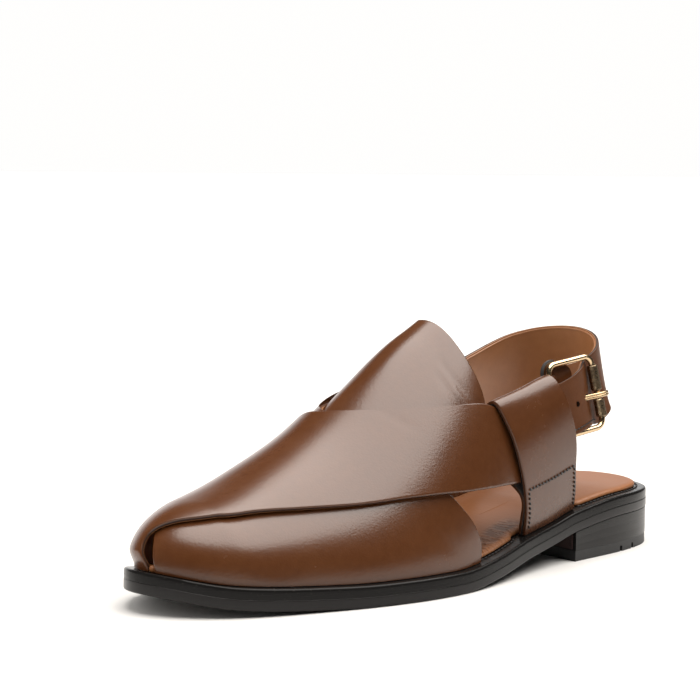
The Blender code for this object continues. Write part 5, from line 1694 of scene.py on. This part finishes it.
def outsole_leather(name):
    """Black painted edges and border, run into the dark red grain of the middle."""
    made, tree, shader, where = start_material(name)
    grain = use_group(tree, HIDE_GRAIN, [("Vector", where), ("Scale", 760.0)])
    streaks = use_group(tree, TRIM_STREAKS, [("Vector", where)])
    distance = edge_distance(tree)
    inside = add_node(tree, "ShaderNodeMapRange",
                      [("Value", distance), ("From Min", 12.0), ("From Max", 24.0)],
                      interpolation_type="SMOOTHSTEP").outputs[0]
    cloudy = arithmetic(tree, "MULTIPLY", inside,
                        arithmetic(tree, "ADD", grain.outputs["Mottle"], 0.45), True)
    tree.links.new(blend_colours(tree, cloudy, (0.0105, 0.0095, 0.0095), (0.036, 0.0125, 0.0125)),
                   shader.inputs["Base Color"])
    under = add_node(tree, "ShaderNodeMapRange",
                     [("Value", distance), ("From Min", 0.6), ("From Max", 1.5)]).outputs[0]
    rough = arithmetic(tree, "ADD", arithmetic(tree, "MULTIPLY", grain.outputs["Mottle"], 0.22), 0.2)
    tree.links.new(rough, shader.inputs["Roughness"])
    pebbled = arithmetic(tree, "MULTIPLY", grain.outputs["Height"], under)
    trimmed = arithmetic(tree, "MULTIPLY", arithmetic(tree, "MULTIPLY", streaks.outputs["Height"], 0.2),
                         arithmetic(tree, "SUBTRACT", 1.0, under))
    bump_into(tree, shader, arithmetic(tree, "ADD", pebbled, trimmed), 0.9, 0.00022)
    shader.inputs["Specular IOR Level"].default_value = 0.2
    shader.inputs["Coat Weight"].default_value = 0.06
    shader.inputs["Coat Roughness"].default_value = 0.22
    return made


def rubber(name):
    made, tree, shader, where = start_material(name)
    fine = add_node(tree, "ShaderNodeTexNoise",
                    [("Vector", where), ("Scale", 2400.0), ("Detail", 3.0)]).outputs["Fac"]
    streaks = use_group(tree, TRIM_STREAKS, [("Vector", where)])
    tree.links.new(blend_colours(tree, arithmetic(tree, "MULTIPLY", streaks.outputs["Dust"], 0.5),
                                 (0.013, 0.013, 0.0135), (0.07, 0.065, 0.06)), shader.inputs["Base Color"])
    tree.links.new(arithmetic(tree, "ADD", arithmetic(tree, "MULTIPLY", fine, 0.2), 0.4),
                   shader.inputs["Roughness"])
    bump_into(tree, shader, fine, 0.6, 0.00005)
    return made


def thread(name, colour):
    made, tree, shader, where = start_material(name)
    twist = add_node(tree, "ShaderNodeTexWave", [("Vector", where), ("Scale", 700.0), ("Distortion", 2.0)],
                     bands_direction="DIAGONAL").outputs["Fac"]
    tree.links.new(blend_colours(tree, twist, tuple(c * 0.5 for c in colour), colour),
                   shader.inputs["Base Color"])
    tree.links.new(arithmetic(tree, "ADD", arithmetic(tree, "MULTIPLY", twist, 0.15), 0.4),
                   shader.inputs["Roughness"])
    bump_into(tree, shader, twist, 0.8, 0.00008)
    return made


def plated(name, colour, tarnish, roughness, tarnish_share):
    """Plated metal with a little antique tarnish left in it."""
    made, tree, shader, where = start_material(name)
    cloud = add_node(tree, "ShaderNodeTexNoise", [("Vector", where), ("Scale", 520.0), ("Detail", 4.0),
                                                  ("Roughness", 0.6)]).outputs["Fac"]
    stained = add_node(tree, "ShaderNodeMapRange",
                       [("Value", cloud), ("From Min", 0.62 - tarnish_share * 0.4),
                        ("From Max", 0.78 - tarnish_share * 0.25)]).outputs[0]
    tree.links.new(blend_colours(tree, stained, colour, tarnish), shader.inputs["Base Color"])
    tree.links.new(arithmetic(tree, "ADD", arithmetic(tree, "MULTIPLY", stained, 0.22), roughness),
                   shader.inputs["Roughness"])
    bump_into(tree, shader, cloud, 0.1, 0.00001)
    shader.inputs["Metallic"].default_value = 1.0
    return made


BROWN = leather("brown_calf", (0.082, 0.0275, 0.0080), (0.067, 0.0215, 0.0060), (0.070, 0.023, 0.007), 0.25,
                1500.0, 0.00006, 0.55, 0.1)
STRAP_BROWN = leather("heel_strap_calf", (0.092, 0.031, 0.0095), (0.075, 0.0245, 0.0072),
                      (0.070, 0.023, 0.007), 0.42, 1500.0, 0.00006, 0.22, 0.0)
LOOP_BROWN = leather("loop_calf", (0.086, 0.029, 0.0086), (0.070, 0.0225, 0.0064),
                     (0.070, 0.023, 0.007), 0.27, 1500.0, 0.00006, 0.5, 0.08)
TAN = leather("tan_lining", (0.34, 0.148, 0.058), (0.28, 0.118, 0.045), (0.24, 0.1, 0.038), 0.44,
              1100.0, 0.00004, 0.5, 0.1)
# The sock: its last colour is the painted shade in the lateral waist.
SOCK = wrinkled_shaded_sock("tan_sock_painted_shade", (0.215, 0.079, 0.0245), (0.178, 0.063, 0.0192), (0.245, 0.096, 0.034),
                     (0.065, 0.025, 0.009))
# Painted light: the straps' lining is a lighter copy of the tan lining, so it reads light tan in shadow.
LINING_WITH_PAINTED_LIGHT = leather("strap_lining_painted_light", (0.42, 0.2, 0.088), (0.36, 0.165, 0.07), (0.3, 0.13, 0.05), 0.5,
                 1100.0, 0.00004, 0.4, 0.05)
EDGE_PAINT = painted_edge("brown_edge_paint", (0.035, 0.014, 0.007))
# The under strap's turned edge: brown leather, made lighter than the strap as painted light on the ridge lip.
SOFT_EDGE_PAINTED_LIGHT = painted_edge("rounded_brown_edge_painted_light", (0.11, 0.042, 0.016), 0.5)
LOOP_EDGE = painted_edge("loop_edge_paint", (0.082, 0.029, 0.0105), 0.36)
DARK_EDGE = painted_edge("dark_edge_paint", (0.022, 0.009, 0.005), 0.6)
GREY_EDGE = painted_edge("grey_edge_paint", (0.036, 0.034, 0.034), 0.5)
# The loops' inner faces: dark flesh side, made darker still as painted shade for the shaded inside of the
# loops.
FLESH_WITH_PAINTED_SHADE = flesh_side("flesh_side", (0.042, 0.018, 0.009), (0.009, 0.005, 0.003))
SOLE_BLACK = sole_black("burnished_black", (0.0075, 0.007, 0.0068), (0.07, 0.062, 0.055), 0.26, 0.00004, 0.12)
STACK_BLACK = sole_black("stack_black", (0.0095, 0.0088, 0.0085), (0.08, 0.07, 0.06), 0.3, 0.00004, 0.22)
OUTSOLE_LEATHER = outsole_leather("outsole_leather")
# Raw red leather at the heel's breast, darkened almost to black as painted shade under the arch.
RED_EDGE_PAINTED_SHADE = painted_edge("raw_red_leather_painted_shade", (0.034, 0.013, 0.0115), 0.7)
RUBBER = rubber("heel_rubber")
BLACK_THREAD = thread("black_thread", (0.02, 0.018, 0.018))
PALE_GOLD = plated("pale_gold", (0.66, 0.49, 0.30), (0.34, 0.24, 0.14), 0.22, 0.0)
WORN_GOLD = plated("worn_gold", (0.50, 0.36, 0.21), (0.24, 0.17, 0.10), 0.26, 0.1)
OLD_BRASS = plated("old_brass", (0.36, 0.27, 0.17), (0.10, 0.075, 0.05), 0.26, 0.5)


# The shoe.
make_outsole(OUTSOLE_LEATHER)
make_midsole(SOLE_BLACK)
make_sole_dashes(SOLE_BLACK)
make_heel_stack(STACK_BLACK)
make_heel_top_piece(RUBBER)
make_breast_flap(RED_EDGE_PAINTED_SHADE)
make_insole(SOCK)
make_welt_stitches(BLACK_THREAD)
make_strap("under_strap", -1, UNDER_CREASES, [BROWN, SOFT_EDGE_PAINTED_LIGHT, LINING_WITH_PAINTED_LIGHT], ["upper"])
make_strap("top_strap", 1, TOP_CREASES, [BROWN, EDGE_PAINT, LINING_WITH_PAINTED_LIGHT])
make_tongue([BROWN, EDGE_PAINT, TAN])
make_side_loop("loop_lateral", 1, [LOOP_BROWN, LOOP_EDGE, FLESH_WITH_PAINTED_SHADE], "side_loop_lateral")
make_side_loop("loop_medial", -1, [LOOP_BROWN, LOOP_EDGE, FLESH_WITH_PAINTED_SHADE], "side_loop_medial", MEDIAL_LOOP_RISE,
               MEDIAL_LOOP_SPLAY)
make_loop_stitches("loop_lateral_stitches", 1, BLACK_THREAD)
make_loop_stitches("loop_medial_stitches", -1, BLACK_THREAD, MEDIAL_LOOP_RISE, MEDIAL_LOOP_SPLAY)
make_heel_strap([STRAP_BROWN, DARK_EDGE, TAN], [TAN, TAN, TAN])
make_strap_stitches(BLACK_THREAD)
make_buckle_frame(PALE_GOLD)
make_prong(WORN_GOLD)
for place, (low, high) in zip(("upper", "lower"), ROLLER_SPANS):
    make_roller(f"roller_{place}_dressed", low, high, OLD_BRASS, f"buckle_roller_{place}")
make_chape([BROWN, DARK_EDGE, TAN])
make_chape_guard([BROWN, GREY_EDGE])


# The studio.
CAMERA_PLACE = (0.59847, -0.60797, 0.16942)
CAMERA_TURN = 46.36     # degrees from +Y towards -X
CAMERA_DIP = 5.31
CAMERA_ROLL = 0.479
CAMERA_LENS = 109.02    # millimetres, on a 36 millimetre sensor
FLOOR_FRONT = 0.42
FLOOR_WIDTH = 12.0
FLOOR_DEPTH = 16.0
OVERHEAD_ANGLE = 72.0
OVERHEAD_POWER = 6.5
OVERHEAD_COLOUR = (1.0, 0.955, 0.905)
OVERHEAD_WAY = (-0.2, -0.2, -1.0)
# The fill lamp lightens the toe side and leaves no highlight: it is kept out of reflections.
FILL_ANGLE = 100.0
FILL_POWER = 3.2
FILL_WAY = (0.6, 0.7, -0.35)
WALL_WAY = (-0.87, 0.49, 0.0)
WALL_LIGHT = 1.6
ROOM_LIGHT = 0.03


def set_camera():
    data = bpy.data.cameras.new("camera")
    data.lens = CAMERA_LENS
    data.sensor_width = 36.0
    data.clip_start = 0.05
    data.clip_end = 40.0
    turn = math.radians(CAMERA_TURN)
    dip = math.radians(CAMERA_DIP)
    ahead = Vector((-math.sin(turn) * math.cos(dip), math.cos(turn) * math.cos(dip), -math.sin(dip)))
    pose = ahead.to_track_quat("-Z", "Y").to_matrix().to_4x4()
    camera = bpy.data.objects.new("camera", data)
    bpy.context.scene.collection.objects.link(camera)
    roll = Matrix.Rotation(math.radians(CAMERA_ROLL), 4, "Z")
    camera.matrix_world = Matrix.Translation(CAMERA_PLACE) @ pose @ roll
    bpy.context.scene.camera = camera


def set_floor():
    """Pale paper: it ends a little way in front of the shoe, and runs far back and to both sides."""
    mesh = bmesh.new()
    bmesh.ops.create_grid(mesh, x_segments=2, y_segments=2, size=0.5)
    bmesh.ops.scale(mesh, vec=(FLOOR_WIDTH, FLOOR_DEPTH, 1.0), verts=mesh.verts)
    bmesh.ops.translate(mesh, vec=(0.0, FLOOR_DEPTH / 2.0 - FLOOR_FRONT, 0.0), verts=mesh.verts)
    bmesh.ops.rotate(mesh, matrix=Matrix.Rotation(math.radians(CAMERA_TURN), 3, "Z"), verts=mesh.verts)
    data = bpy.data.meshes.new("floor")
    mesh.to_mesh(data)
    mesh.free()
    floor = bpy.data.objects.new("floor", data)
    bpy.context.scene.collection.objects.link(floor)
    made, _, shader, _ = start_material("pale_paper")
    shader.inputs["Base Color"].default_value = (0.62, 0.62, 0.615, 1.0)
    shader.inputs["Roughness"].default_value = 0.9
    data.materials.append(made)


def set_world():
    """A dark studio with a low white wall on the inner side. The camera alone sees plain white behind."""
    world = bpy.data.worlds.new("studio")
    world.use_nodes = True
    bpy.context.scene.world = world
    tree = world.node_tree
    background = tree.nodes["Background"]
    way = add_node(tree, "ShaderNodeTexCoord").outputs["Generated"]
    beside = add_node(tree, "ShaderNodeVectorMath", [(0, way), (1, WALL_WAY)],
                      operation="DOT_PRODUCT").outputs[1]
    walls = add_node(tree, "ShaderNodeMapRange", [("Value", beside), ("From Min", 0.7), ("From Max", 0.95)],
                     interpolation_type="SMOOTHSTEP").outputs[0]
    height = add_node(tree, "ShaderNodeSeparateXYZ", [(0, way)]).outputs[2]
    low = add_node(tree, "ShaderNodeMapRange", [("Value", height), ("From Min", 0.1), ("From Max", 0.62),
                                                ("To Min", WALL_LIGHT), ("To Max", 0.0)],
                   interpolation_type="SMOOTHSTEP").outputs[0]
    room = arithmetic(tree, "ADD", arithmetic(tree, "MULTIPLY", walls, low), ROOM_LIGHT)
    seen = add_node(tree, "ShaderNodeLightPath").outputs["Is Camera Ray"]
    strength = add_node(tree, "ShaderNodeMix", [(0, seen), (2, room), (3, 1.0)], data_type="FLOAT").outputs[0]
    tree.links.new(strength, background.inputs["Strength"])
    background.inputs["Color"].default_value = (1.0, 0.995, 0.985, 1.0)


def set_lamp(name, angle, power, way, colour, shows_in_gloss):
    """A wide soft lamp, far enough off to light the whole floor alike. It shows in gloss only if asked."""
    data = bpy.data.lights.new(name, "SUN")
    data.angle = math.radians(angle)
    data.energy = power
    data.color = colour
    lamp = bpy.data.objects.new(name, data)
    bpy.context.scene.collection.objects.link(lamp)
    lamp.visible_glossy = shows_in_gloss
    lamp.matrix_world = Vector(way).to_track_quat("-Z", "Y").to_matrix().to_4x4()


set_camera()
set_lamp("overhead_lamp", OVERHEAD_ANGLE, OVERHEAD_POWER, OVERHEAD_WAY, OVERHEAD_COLOUR, True)
set_lamp("fill_lamp", FILL_ANGLE, FILL_POWER, FILL_WAY, OVERHEAD_COLOUR, False)
set_floor()
set_world()
bpy.context.scene.view_settings.view_transform = "Standard"
